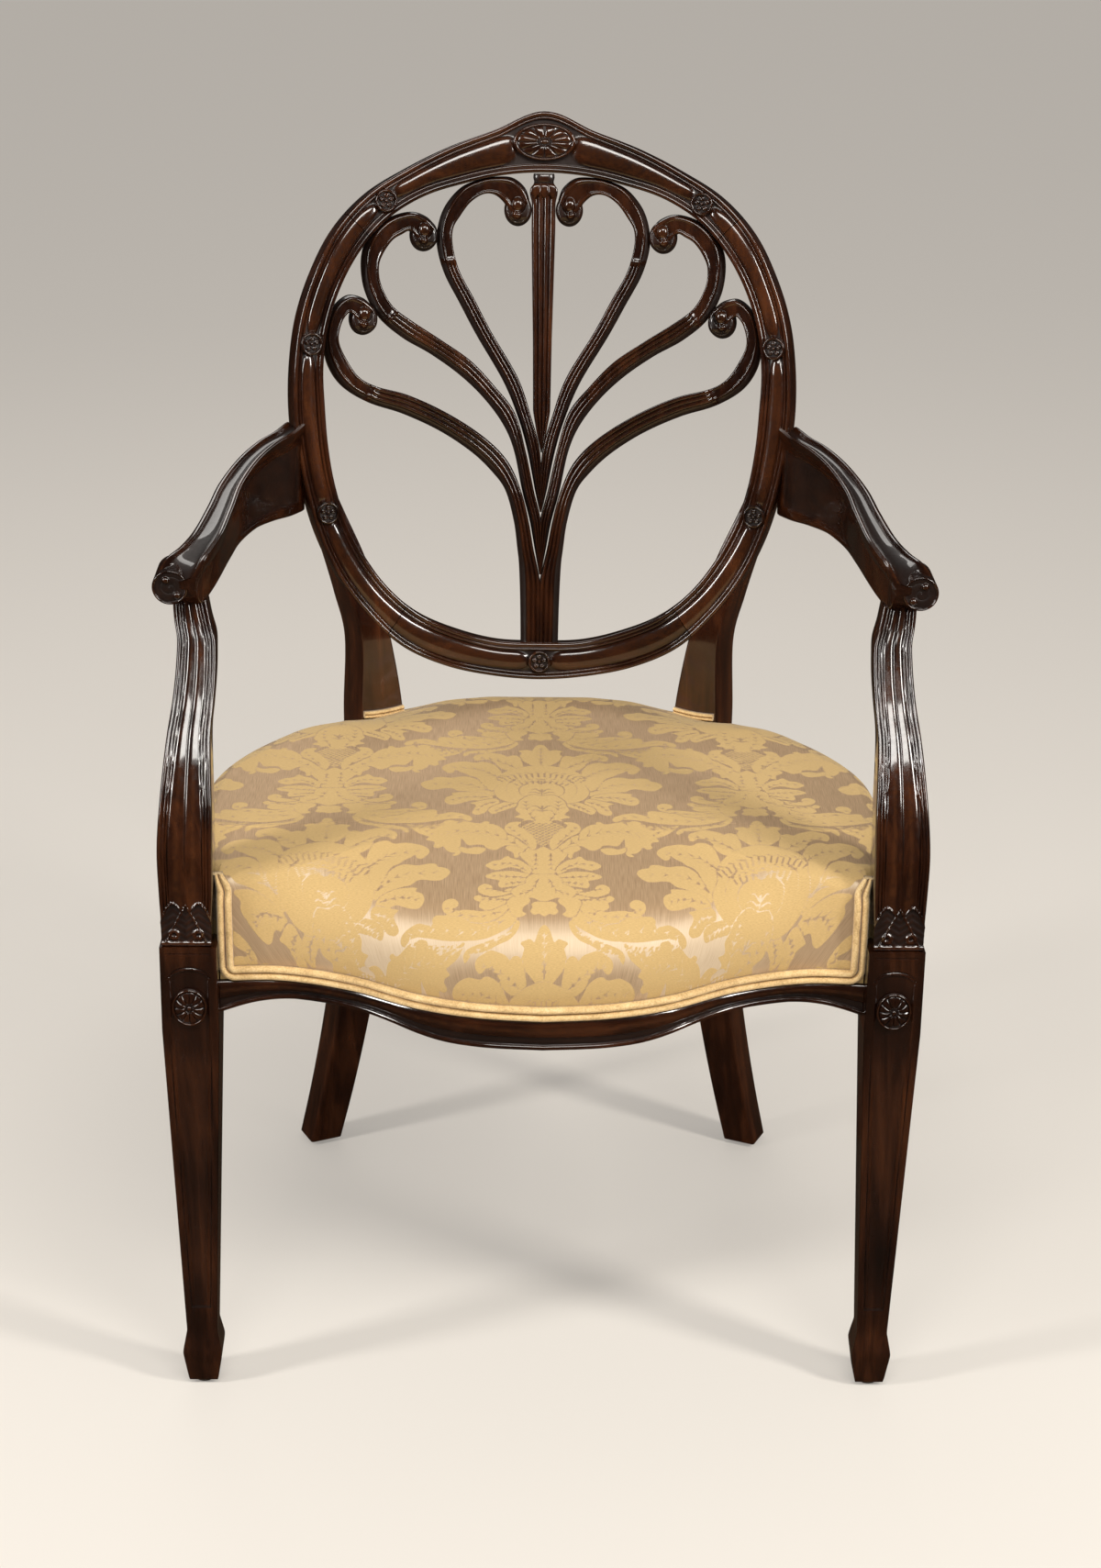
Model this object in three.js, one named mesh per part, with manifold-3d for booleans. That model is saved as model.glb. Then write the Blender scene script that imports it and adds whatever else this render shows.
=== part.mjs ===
// Mahogany armchair with a pointed oval back, a pierced splat of scrolled branches,
// scrolled arms, square tapered front legs and a seat upholstered over the rails.
// Millimetres, +Z up, the front towards -Y, the origin on the floor under the middle of the chair.
// Left and right are as seen from the front. Pairs are made on the right and mirrored.

import * as THREE from 'three';
import { mergeVertices } from 'three/addons/utils/BufferGeometryUtils.js';
import Module from 'manifold-3d';

const wasm = await Module();
wasm.setup();

// Clearances
const jointGap = 0.3;
const softGap = 0.5;
const cutOverrun = 3;

// Back: a raked surface, gently dished across, measured from the lowest point of the oval
const backRadius = 600;
const backRake = THREE.MathUtils.degToRad(10);
const backBaseZ = 483;
const backMargin = 29;
const ovalHalfWidth = 222;
const ovalHeight = 503;
const ovalFaceWidth = 30;
const ovalDepth = 24;
const crestJointTurn = THREE.MathUtils.degToRad(46);
const lowerJointTurn = THREE.MathUtils.degToRad(146);
const ovalTurnStep = THREE.MathUtils.degToRad(7);
const tenonTurn = THREE.MathUtils.degToRad(5);

// Radii of the oval every ten degrees from the crest to the bottom, as shares of its half width
const outerRadiusShares = [
  1.158, 1.101, 1.081, 1.075, 1.084, 1.077, 1.053, 1.032, 1.011, 1,
  0.998, 1.008, 1.033, 1.062, 1.088, 1.116, 1.117, 1.109, 1.108,
];
const innerRadiusShares = [
  0.921, 0.923, 0.930, 0.950, 0.959, 0.949, 0.932, 0.912, 0.890, 0.871,
  0.872, 0.886, 0.907, 0.928, 0.952, 0.967, 0.965, 0.964, 0.956,
];
const ovalHalfRise = ovalHeight / (outerRadiusShares[0] + outerRadiusShares[outerRadiusShares.length - 1]);
const ovalCentreHeight = ovalHalfRise * outerRadiusShares[outerRadiusShares.length - 1];

// Splat
const ribDepth = 14;
const ribSetback = 4;
const ribTenon = 14;
const voluteRadius = 12;
const voluteRise = 3;
const barTenonHalf = 6;
const barTenonLength = 10;
const barTenonDepth = 8;

// Carved rosettes and paterae
const rosetteRadius = 10;
const rosetteRise = 4.2;
const rosetteSeatDepth = 2.6;
const crestPateraWidth = 55;
const crestPateraHeight = 32;
const legPateraWidth = 28;
const legPateraHeight = 32;
const pateraRise = 4;

// Rear posts
const postSeatShare = 0.68;
const postSeatX = postSeatShare * ovalHalfWidth;
const postMargin = 16;
const postSeatZ = 450;
const postSeatWidth = 41;
const postSeatDepth = 46;
const postFootWidth = 31;
const postFootDepth = 30;
const postTurn = THREE.MathUtils.degToRad(25);
const postSplay = 56;
const postRake = 16;
const postChamfer = 2.5;
const postSetback = 3;
const postSpread = 7;

// Front legs
const legCentreX = 278.6;
const legCentreY = 10;
const legBlock = 45;
const legAnkle = 25;
const spadeRidge = 32;
const spadeFoot = 24;
const spadeRidgeZ = 33;
const ankleZ = 52;
const legTaperTopZ = 333;
const legTopZ = 405;
const panelDepth = 1.2;
const panelMargin = 5;
const panelFootZ = 74;
const panelTopZ = 388;
const panelArch = 12;
const legPateraZ = 354;

// Glides under the feet
const glideRadius = 9;
const glideRise = 4;
const glideEdge = 1;
const glidePinRadius = 1.4;
const glidePinLength = 15;

// Seat rails
const railTopZ = 405;
const railFootZ = 345;
const railThickness = 25;
const showWoodTopZ = 370;
const coverRebate = 8.2;
const frontBow = 70;
const frontRailLap = 2.9;
const seatHalfFront = legCentreX - legBlock / 2 + frontRailLap;
const sideBulge = 13.4;
const seatHalfWide = legCentreX + sideBulge;
const sideRailLap = 5;
const seatDepth = 433;
const backBaseY = seatDepth - backMargin;
const postSeatY = seatDepth - postMargin;
const rearRailThickness = 24;
const railMould = 2.2;
const railTenonThickness = 8;
const railTenonHeight = 40;
const frontTenonLength = 13;
const sideTenonLength = 14;
const rearTenonLength = 20;
const tenonFootZ = 355;

// Corner blocks and screws
const blockHeight = 30;
const blockFootZ = 364;
const blockReach = 62;
const blockBack = 16;
const screwLength = 36;
const screwBite = 16;
const screwRadius = 2;
const screwHeadRadius = 4;
const screwHeadRise = 3;
const armScrewLength = 46;

// Arms and their supports: they meet the oval's stiles behind and stand over the legs in front
const armRiseShare = 0.4672;
const armTopZ = backBaseZ + armRiseShare * ovalHeight;
const armRootShare = 0.977;
const armRootX = armRootShare * ovalHalfWidth;
const armRootLap = 15.5;
const armOverhang = 29.4;
const armSpread = legCentreX + armOverhang;
const armFrontY = 86;
const armWidth = 32;
const armLip = 10;
const scrollRadius = 14;
const scrollOffset = 14.9;
const scrollX = legCentreX + scrollOffset;
const scrollDrop = 46.5;
const scrollZ = armTopZ - scrollDrop;
const scrollAhead = 7;
const scrollFrontY = armFrontY - scrollAhead;
const scrollLength = 46;
const supportDrop = 62;
const supportRise = armTopZ - supportDrop - legTopZ;
const supportLap = 26;
const supportSweep = armFrontY + supportLap;
const supportWidth = 40;
const supportDepth = 40;
const supportSetback = 2;
const dowelRadius = 6;
const dowelLength = 26;
const armDowelLength = 14;

// Upholstery
const coverInset = 4.4;
const coverThickness = 2.5;
const coverFootZ = showWoodTopZ + jointGap;
const seatCrownZ = 466;
const rollReach = 60;
const cornerReach = 90;
const cornerLift = 14;
const sideRollShare = 0.1;
const rearRollShare = 0.3;
const crownRise = 9.5;
const postPull = 22;
const postPullReach = 115;
const padFootZ = 407.4;
const webbingWidth = 48;
const webbingThickness = 1.6;
const webbingLap = 12;
const webbingPitch = 60;
const crossWebbingPitch = 70;
const firstCrossWebbingY = 62;
const weltWidth = 11;
const weltThickness = 5.4;
const weltLevels = 6;
const gimpHeight = 6;
const gimpThickness = 4;
const dustCoverThickness = 1;
const dustCoverLap = 12;

const up = new THREE.Vector3(0, 0, 1);
const { lerp, smoothstep } = THREE.MathUtils;

// A closed solid through rings of as many points each, with a fan over each end.
function ringSolid(rings) {
  const count = rings[0].length;
  const ends = [rings[0], rings[rings.length - 1]].map((ring) => {
    const sum = ring.reduce((total, point) => total.add(point), new THREE.Vector3());
    return sum.divideScalar(count);
  });
  const points = [...rings.flat(), ...ends];
  const index = [];
  for (let r = 0; r + 1 < rings.length; r += 1) {
    for (let k = 0; k < count; k += 1) {
      const a = r * count + k;
      const b = r * count + (k + 1) % count;
      index.push(a, b, b + count, a, b + count, a + count);
    }
  }
  const lastStart = (rings.length - 1) * count;
  for (let k = 0; k < count; k += 1) {
    const next = (k + 1) % count;
    index.push(next, k, points.length - 2);
    index.push(lastStart + k, lastStart + next, points.length - 1);
  }
  const geometry = new THREE.BufferGeometry().setFromPoints(points);
  geometry.setIndex(index);
  return facingOut(geometry);
}

// Six times the signed volume says whether the faces point out; if not, they are turned.
function facingOut(geometry) {
  const place = geometry.getAttribute('position');
  const index = Array.from(geometry.index.array);
  const corner = [new THREE.Vector3(), new THREE.Vector3(), new THREE.Vector3()];
  let volume = 0;
  for (let i = 0; i < index.length; i += 3) {
    corner.forEach((point, k) => point.fromBufferAttribute(place, index[i + k]));
    volume += corner[0].dot(corner[1].cross(corner[2]));
  }
  if (volume < 0) {
    for (let i = 0; i < index.length; i += 3) {
      [index[i], index[i + 1]] = [index[i + 1], index[i]];
    }
    geometry.setIndex(index);
  }
  return geometry;
}

function toSolid(geometry) {
  const bare = geometry.clone();
  bare.deleteAttribute('normal');
  bare.deleteAttribute('uv');
  const merged = mergeVertices(bare);
  return new wasm.Manifold(new wasm.Mesh({
    numProp: 3,
    vertProperties: Float32Array.from(merged.getAttribute('position').array),
    triVerts: Uint32Array.from(merged.index.array),
  }));
}

function toGeometry(solid) {
  const mesh = solid.getMesh();
  const geometry = new THREE.BufferGeometry();
  geometry.setAttribute('position', new THREE.BufferAttribute(mesh.vertProperties, 3));
  geometry.setIndex(Array.from(mesh.triVerts));
  return geometry;
}

function cut(geometry, ...cutters) {
  return toGeometry(cutters.reduce((solid, cutter) => solid.subtract(toSolid(cutter)), toSolid(geometry)));
}

function join(geometry, ...others) {
  return toGeometry(others.reduce((solid, other) => solid.add(toSolid(other)), toSolid(geometry)));
}

function mirrored(geometry) {
  const copy = geometry.clone().scale(-1, 1, 1);
  const index = Array.from(copy.index.array);
  for (let i = 0; i < index.length; i += 3) {
    [index[i], index[i + 1]] = [index[i + 1], index[i]];
  }
  copy.setIndex(index);
  return copy;
}

// A box between two corners.
function boxBetween(low, high) {
  const size = high.clone().sub(low);
  return new THREE.BoxGeometry(size.x, size.y, size.z).translate(
    (low.x + high.x) / 2, (low.y + high.y) / 2, (low.z + high.z) / 2);
}

// A rod of round section between two points.
function rod(from, to, radius, sides) {
  const axis = to.clone().sub(from);
  const turn = new THREE.Quaternion().setFromUnitVectors(up, axis.clone().normalize());
  return new THREE.CylinderGeometry(radius, radius, axis.length(), sides)
    .rotateX(Math.PI / 2)
    .applyQuaternion(turn)
    .translate((from.x + to.x) / 2, (from.y + to.y) / 2, (from.z + to.z) / 2);
}

// A turned solid whose profile starts and ends on its axis, standing along +Z.
function turned(profile, sides) {
  const points = profile.map(([radius, height]) => new THREE.Vector2(radius, height));
  return facingOut(mergeVertices(stripped(new THREE.LatheGeometry(points, sides).rotateX(Math.PI / 2))));
}

function stripped(geometry) {
  geometry.deleteAttribute('normal');
  geometry.deleteAttribute('uv');
  return geometry;
}

// A smooth value at a place among evenly spaced shares, mirrored past both ends.
function smoothShare(shares, place) {
  const last = shares.length - 1;
  const at = (i) => shares[i > last ? 2 * last - i : Math.abs(i)];
  const i = Math.min(Math.floor(place), last - 1);
  const f = place - i;
  const [a, b, c, d] = [at(i - 1), at(i), at(i + 1), at(i + 2)];
  const straight = 2 * b + (c - a) * f;
  const bent = (2 * a - 5 * b + 4 * c - d) * f * f + (3 * b - a - 3 * c + d) * f * f * f;
  return (straight + bent) / 2;
}

// A point of the back: across, up the rake, and in from the front surface.
function backPoint(across, along, depth) {
  const angle = across / backRadius;
  const out = (backRadius + depth) * Math.cos(angle) - backRadius;
  return new THREE.Vector3(
    (backRadius + depth) * Math.sin(angle),
    backBaseY + along * Math.sin(backRake) + out * Math.cos(backRake),
    backBaseZ + along * Math.cos(backRake) - out * Math.sin(backRake));
}

// Puts a solid that stands on z = 0 onto the back, standing towards the front.
function onBack(geometry, across, along, depth) {
  const angle = across / backRadius;
  const alongAxis = new THREE.Vector3(0, Math.sin(backRake), Math.cos(backRake));
  const acrossAxis = new THREE.Vector3(
    Math.cos(angle), -Math.sin(angle) * Math.cos(backRake), Math.sin(angle) * Math.sin(backRake));
  const basis = new THREE.Matrix4().makeBasis(acrossAxis, alongAxis, acrossAxis.clone().cross(alongAxis));
  basis.setPosition(backPoint(across, along, depth));
  return geometry.applyMatrix4(basis);
}

function backBox(acrossRange, alongRange, depthRange) {
  const ring = (along) => [[0, 0], [1, 0], [1, 1], [0, 1]].map(([i, j]) => backPoint(
    acrossRange[i], along, depthRange[j]));
  return ringSolid(alongRange.map(ring));
}

// Oval frame of the back

function ovalPoint(turn, share) {
  const fromApex = Math.min(Math.abs(turn), 2 * Math.PI - Math.abs(turn));
  const place = fromApex * (outerRadiusShares.length - 1) / Math.PI;
  const inner = smoothShare(innerRadiusShares, place);
  const outer = smoothShare(outerRadiusShares, place);
  const radius = lerp(inner, outer, share);
  const along = ovalCentreHeight + ovalHalfRise * radius * Math.cos(turn);
  return [ovalHalfWidth * radius * Math.sin(turn), along];
}

// A bead along each edge and a broad round between: across share, depth share
const frameProfileShares = [
  [0, 0.14], [0.07, 0.03], [0.18, 0.03], [0.25, 0.12], [0.5, 0], [0.75, 0.12], [0.82, 0.03], [0.93, 0.03],
  [1, 0.14], [1, 0.86], [0.9, 1], [0.1, 1], [0, 0.86],
];

function ovalStrip(fromTurn, toTurn, profile) {
  const steps = 2 * Math.max(1, Math.round((toTurn - fromTurn) / ovalTurnStep / 2));
  const rings = [];
  for (let i = 0; i <= steps; i += 1) {
    const turn = lerp(fromTurn, toTurn, i / steps);
    rings.push(profile.map(([share, depth]) => backPoint(...ovalPoint(turn, share), depth)));
  }
  return ringSolid(rings);
}

const frameProfile = frameProfileShares.map(([share, depthShare]) => [share, depthShare * ovalDepth]);

function tenonProfile(grow) {
  const growShare = grow / ovalFaceWidth;
  return [[0.3 - growShare, -1], [0.7 + growShare, -1], [0.7 + growShare, 1], [0.3 - growShare, 1]]
    .map(([share, side]) => [share, ovalDepth / 2 + side * (ovalDepth / 5 + grow)]);
}

const gapTurn = jointGap / ovalHalfWidth;

function rosetteSeat(turn) {
  const seat = new THREE.CylinderGeometry(rosetteRadius + jointGap, rosetteRadius + jointGap,
    rosetteSeatDepth + cutOverrun, 12);
  seat.rotateX(Math.PI / 2).translate(0, 0, (rosetteSeatDepth + cutOverrun) / 2);
  return onBack(seat, ...ovalPoint(turn, 0.5), rosetteSeatDepth);
}

function pateraSeat() {
  const seat = new THREE.CylinderGeometry(1, 1, rosetteSeatDepth + cutOverrun, 20);
  seat.rotateX(Math.PI / 2).translate(0, 0, (rosetteSeatDepth + cutOverrun) / 2);
  seat.scale(crestPateraWidth / 2 + jointGap, crestPateraHeight / 2 + jointGap, 1);
  return onBack(seat, ...ovalPoint(0, 0.5), rosetteSeatDepth);
}

const rosetteTurns = [37.8, 74.9, 115.8].map((degrees) => THREE.MathUtils.degToRad(degrees));

function crestRail() {
  const mortise = (sign) => ovalStrip(
    sign > 0 ? crestJointTurn - tenonTurn - gapTurn : -crestJointTurn - gapTurn,
    sign > 0 ? crestJointTurn + gapTurn : -crestJointTurn + tenonTurn + gapTurn, tenonProfile(softGap));
  const top = ovalPoint(0, 0)[1];
  const barMortise = backBox([-barTenonHalf - jointGap, barTenonHalf + jointGap],
    [top - cutOverrun, top + barTenonLength + jointGap],
    [ribSetback + barTenonDepth / 2 - jointGap, ribSetback + barTenonDepth * 1.5 + jointGap]);
  return cut(ovalStrip(-crestJointTurn + gapTurn, crestJointTurn - gapTurn, frameProfile),
    mortise(1), mortise(-1), barMortise, rosetteSeat(rosetteTurns[0]), rosetteSeat(-rosetteTurns[0]),
    pateraSeat());
}

function lowerRail() {
  const body = ovalStrip(lowerJointTurn + gapTurn, 2 * Math.PI - lowerJointTurn - gapTurn, frameProfile);
  const tenon = ovalStrip(lowerJointTurn - tenonTurn, lowerJointTurn + tenonTurn, tenonProfile(0));
  const top = ovalPoint(Math.PI, 0)[1];
  const halfFoot = ribEdgeShares.outer[0][0] * ovalHalfWidth + softGap;
  const ribMortise = backBox([-halfFoot, halfFoot], [top - ribTenon - jointGap, top + cutOverrun],
    [ribSetback - softGap, ribSetback + ribDepth + softGap]);
  const posts = [rearPost(jointGap), mirrored(rearPost(jointGap))];
  const shaped = cut(body, ribMortise, rosetteSeat(Math.PI), ...posts);
  return join(shaped, tenon, mirrored(tenon));
}

// Rear post: leg, seat joint and stile in one piece

function chamferedSection(width, depth, chamfer) {
  const half = width / 2;
  return [[-half + chamfer, 0], [half - chamfer, 0], [half, chamfer], [half, depth - chamfer],
    [half - chamfer, depth], [-half + chamfer, depth], [-half, depth - chamfer], [-half, chamfer]];
}

function postLegRing(z, grow) {
  const drop = 1 - z / postSeatZ;
  const x = postSeatX + postSplay * Math.pow(Math.max(drop, 0), 1.9);
  const y = postSeatY + postRake * drop * drop;
  const taper = Math.pow(drop, 0.8);
  const width = lerp(postSeatWidth, postFootWidth, taper) + 2 * grow;
  const depth = lerp(postSeatDepth, postFootDepth, taper) + 2 * grow;
  return chamferedSection(width, depth, postChamfer).map(([out, back]) => new THREE.Vector3(
    x + out * Math.cos(postTurn) + (back - depth / 2) * Math.sin(postTurn),
    y - out * Math.sin(postTurn) + (back - depth / 2) * Math.cos(postTurn), z));
}

// Stations above the seat: along share, across share, width share, depth share, spread share
const postStationShares = [
  [0.072, 0.662, 0.68, 0.87, 1], [0.153, 0.712, 0.66, 0.78, 0.9], [0.227, 0.770, 0.66, 0.67, 0.7],
  [0.300, 0.842, 0.62, 0.56, 0.4], [0.378, 0.908, 0.46, 0.4, 0],
];

function postStileRing([alongShare, acrossShare, widthShare, depthShare, spreadShare], grow) {
  const width = widthShare * postSeatWidth + 2 * grow;
  const depth = depthShare * postSeatDepth + 2 * grow;
  return chamferedSection(width, depth, postChamfer).map(([out, back]) => backPoint(
    acrossShare * ovalHalfWidth + out + postSpread * spreadShare * back / depth,
    alongShare * ovalHeight, postSetback - grow + back));
}

function rearPost(grow) {
  const steps = 9;
  const foot = glideRise - grow;
  const rings = [];
  for (let i = 0; i <= steps; i += 1) {
    rings.push(postLegRing(lerp(foot, postSeatZ, i / steps), grow));
  }
  return ringSolid([...rings, ...postStationShares.map((station) => postStileRing(station, grow))]);
}

// The screw through the stile is aimed along the middle of the arm.
function armScrewEnds() {
  const head = backPoint(0.93 * ovalHalfWidth, 0.392 * ovalHeight, ovalDepth - screwHeadRise);
  const [reachShare, spreadShare] = armStationShares[1];
  const aim = new THREE.Vector3(lerp(armRootX, armSpread, spreadShare) - head.x,
    armFootY - reachShare * armReach - head.y, 0).normalize();
  return [head, head.clone().addScaledVector(aim, armScrewLength), aim];
}

function rearLeg() {
  const strip = ovalStrip(crestJointTurn + gapTurn, lowerJointTurn - gapTurn, frameProfile);
  const tenon = ovalStrip(crestJointTurn - tenonTurn, crestJointTurn + tenonTurn, tenonProfile(0));
  const mortise = ovalStrip(lowerJointTurn - tenonTurn - gapTurn, lowerJointTurn + gapTurn * 2,
    tenonProfile(softGap));
  const whole = join(rearPost(0), strip, tenon);
  return cut(whole, mortise, rosetteSeat(rosetteTurns[1]), rosetteSeat(rosetteTurns[2]), armScrewHole(),
    sideRearTenon(jointGap), rearRailTenon(jointGap), glideHole(...postFootCentre()));
}

function postFootCentre() {
  return [postSeatX + postSplay, postSeatY + postRake];
}

// Splat: each branch is given by matching points of its outer and inner edges, across share and along share

const ribEdgeShares = {
  outer: [
    [0.074, 0.040], [0.077, 0.131], [0.083, 0.201], [0.091, 0.235], [0.106, 0.284], [0.140, 0.338],
    [0.194, 0.372], [0.279, 0.408], [0.405, 0.445], [0.550, 0.475], [0.685, 0.495], [0.788, 0.523],
    [0.843, 0.559], [0.860, 0.600], [0.847, 0.637], [0.816, 0.663], [0.766, 0.680], [0.712, 0.676],
    [0.671, 0.662],
  ],
  inner: [
    [0.0014, 0.040], [0.0014, 0.131], [0.003, 0.175], [0.027, 0.235], [0.047, 0.284], [0.078, 0.338],
    [0.131, 0.390], [0.225, 0.433], [0.369, 0.475], [0.523, 0.507], [0.653, 0.523], [0.730, 0.541],
    [0.784, 0.575], [0.811, 0.606], [0.797, 0.636], [0.770, 0.652], [0.757, 0.650], [0.734, 0.638],
    [0.707, 0.630],
  ],
};
const middleEdgeShares = {
  outer: [
    [0.004, 0.190], [0.023, 0.235], [0.043, 0.284], [0.074, 0.338], [0.108, 0.410], [0.153, 0.457],
    [0.230, 0.503], [0.324, 0.543], [0.437, 0.579], [0.550, 0.608], [0.644, 0.644], [0.696, 0.688],
    [0.709, 0.733], [0.696, 0.768], [0.656, 0.794], [0.594, 0.815], [0.516, 0.824], [0.459, 0.816],
    [0.423, 0.801],
  ],
  inner: [
    [0.0014, 0.190], [0.0014, 0.235], [0.002, 0.284], [0.027, 0.338], [0.062, 0.410], [0.106, 0.477],
    [0.185, 0.523], [0.284, 0.569], [0.405, 0.606], [0.518, 0.638], [0.595, 0.664], [0.640, 0.700],
    [0.649, 0.732], [0.631, 0.755], [0.595, 0.777], [0.559, 0.787], [0.527, 0.793], [0.500, 0.781],
    [0.468, 0.773],
  ],
};
const innerEdgeShares = {
  outer: [
    [0.004, 0.302], [0.023, 0.338], [0.055, 0.410], [0.094, 0.470], [0.153, 0.533], [0.257, 0.612],
    [0.324, 0.668], [0.385, 0.720], [0.413, 0.767], [0.409, 0.803], [0.380, 0.837], [0.319, 0.867],
    [0.245, 0.8815], [0.180, 0.8865], [0.121, 0.884], [0.076, 0.869], [0.056, 0.849],
  ],
  inner: [
    [0.0014, 0.302], [0.0014, 0.338], [0.006, 0.410], [0.041, 0.470], [0.095, 0.539], [0.203, 0.620],
    [0.270, 0.676], [0.329, 0.724], [0.356, 0.767], [0.356, 0.797], [0.329, 0.819], [0.288, 0.843],
    [0.239, 0.857], [0.194, 0.857], [0.158, 0.845], [0.131, 0.827], [0.099, 0.819],
  ],
};
const voluteShares = { outer: [0.707, 0.644], middle: [0.468, 0.789], inner: [0.1, 0.834] };

// Three reeds on the front and a flat back: across share, depth share
const reedProfileShares = [
  [0, 0.16], [0.167, 0], [0.333, 0.13], [0.5, 0], [0.667, 0.13], [0.833, 0], [1, 0.16], [1, 1], [0, 1],
];

function edgeCurve(shares) {
  return new THREE.SplineCurve(shares.map(([across, along]) => new THREE.Vector2(
    across * ovalHalfWidth, along * ovalHeight)));
}

function branchStrip(edges) {
  const outer = edgeCurve(edges.outer);
  const inner = edgeCurve(edges.inner);
  const steps = Math.round(edges.outer.length * 1.4);
  const rings = [];
  for (let i = 0; i <= steps; i += 1) {
    const [far, near] = [outer.getPoint(i / steps), inner.getPoint(i / steps)];
    rings.push(reedProfileShares.map(([share, depthShare]) => backPoint(lerp(near.x, far.x, share),
      lerp(near.y, far.y, share), ribSetback + depthShare * ribDepth)));
  }
  return ringSolid(rings);
}

function volute([acrossShare, alongShare]) {
  const whole = ribDepth + voluteRise;
  const profileShares = [[0, 0.08], [0.85, 0.08], [1, 0.25], [1, 0.6], [0.7, 0.92], [0, 1]];
  const ball = turned(profileShares.map(([r, h]) => [r * voluteRadius, h * whole]), 12);
  return onBack(ball, acrossShare * ovalHalfWidth, alongShare * ovalHeight, ribSetback + ribDepth);
}

function branch(edges, voluteShare) {
  return join(branchStrip(edges), volute(voluteShare));
}

// Half widths of the centre bar: across share, along share
const barEdgeShares = [
  [0.002, 0.408], [0.019, 0.441], [0.034, 0.480], [0.037, 0.608], [0.042, 0.708], [0.046, 0.797],
  [0.046, 0.850], [0.055, 0.862], [0.055, 0.884],
];

function centreBar() {
  const top = ovalPoint(0, 0)[1] - jointGap - softGap;
  const stations = [...barEdgeShares.map(([half, along]) => [half * ovalHalfWidth, along * ovalHeight])];
  stations.push([stations[stations.length - 1][0], top]);
  const rings = stations.map(([half, along]) => reedProfileShares.map(([share, depthShare]) => backPoint(
    lerp(-half, half, share), along, ribSetback + depthShare * ribDepth)));
  const tenon = backBox([-barTenonHalf, barTenonHalf], [top - cutOverrun, top + barTenonLength],
    [ribSetback + barTenonDepth / 2, ribSetback + barTenonDepth * 1.5]);
  return join(ringSolid(rings), tenon);
}

// Carved ornaments

// Rim, hollow, petals and centre bead: radius share, height share
const rosetteProfileShares = [
  [0, 0], [1, 0], [1, 0.7], [0.88, 0.95], [0.7, 0.6], [0.35, 0.75], [0, 1],
];

function rosette(sides) {
  return turned(rosetteProfileShares.map(([r, h]) => [r * rosetteRadius, h * rosetteRise]), sides);
}

function patera(width, height, sides) {
  const profile = rosetteProfileShares.map(([r, h]) => [r, h * pateraRise]);
  return turned(profile, sides).scale(width / 2, height / 2, 1);
}

// Front leg with its spade foot, and what sits on it

function squareRing(x, y, half, z) {
  const corners = [[-1, -1], [1, -1], [1, 1], [-1, 1]];
  return corners.map(([i, j]) => new THREE.Vector3(x + i * half, y + j * half, z));
}

function legStations() {
  return [[glideRise, spadeFoot / 2], [spadeRidgeZ, spadeRidge / 2], [ankleZ, legAnkle / 2],
    [legTaperTopZ, legBlock / 2], [legTopZ, legBlock / 2]];
}

function legBody(grow) {
  const rings = legStations().map(([z, half]) => squareRing(legCentreX, legCentreY, half + grow, z));
  return ringSolid(rings);
}

function legHalfAt(z) {
  const share = Math.min(1, (z - ankleZ) / (legTaperTopZ - ankleZ));
  return lerp(legAnkle, legBlock, share) / 2;
}

// The sunk panel follows the taper of the face and ends in an arch at the top.
function legPanel() {
  const rings = [];
  const straightTop = panelTopZ - panelArch;
  const ring = (z, narrowShare) => {
    const half = (legHalfAt(z) - panelMargin) * narrowShare;
    const face = legCentreY - legHalfAt(z);
    return [[-1, -cutOverrun], [1, -cutOverrun], [1, panelDepth], [-1, panelDepth]].map(([i, depth]) => (
      new THREE.Vector3(legCentreX + i * half, face + depth, z)));
  };
  rings.push(ring(panelFootZ, 1), ring(legTaperTopZ, 1), ring(straightTop, 1));
  for (const share of [0.35, 0.65, 0.87, 0.98]) {
    rings.push(ring(straightTop + share * panelArch, Math.sqrt(1 - share * share)));
  }
  return ringSolid(rings);
}

function glideHole(x, y) {
  return rod(new THREE.Vector3(x, y, 0), new THREE.Vector3(x, y, glideRise + glidePinLength),
    glidePinRadius + jointGap, 8);
}

function glide(x, y) {
  const top = glideRise - jointGap;
  const disc = turned([[0, 0], [glideRadius - glideEdge, 0], [glideRadius, glideEdge], [glideRadius, top],
    [glidePinRadius, top], [0, glidePinLength]], 12);
  return disc.translate(x, y, 0);
}

function frontLeg() {
  const dowelHole = rod(new THREE.Vector3(legCentreX, legCentreY, legTopZ - dowelLength - jointGap),
    new THREE.Vector3(legCentreX, legCentreY, legTopZ + cutOverrun), dowelRadius + jointGap, 12);
  return cut(legBody(0), legPanel(), dowelHole, frontRailTenon(jointGap), sideFrontTenon(jointGap),
    glideHole(legCentreX, legCentreY));
}

function legPatera() {
  const carving = patera(legPateraWidth, legPateraHeight, 16);
  return carving.rotateX(Math.PI / 2).translate(legCentreX,
    legCentreY - legBlock / 2 + panelDepth - jointGap, legPateraZ);
}

// Seat rails

// Serpentine plan of the front rail and its arched foot: along share, size share
const serpentineShares = [[0, 1], [0.193, 0.914], [0.375, 0.686], [0.58, 0.229], [0.8, -0.03], [1, 0]];
const railArchShares = [[0, 0], [0.28, 0.02], [0.48, 0.7], [0.7, 1], [0.87, 0.58], [1, -0.35]];
const railArch = 10;
const serpentine = new THREE.SplineCurve(serpentineShares.map(([x, y]) => new THREE.Vector2(x, y)));
const archCurve = new THREE.SplineCurve(railArchShares.map(([x, y]) => new THREE.Vector2(x, y)));

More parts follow.
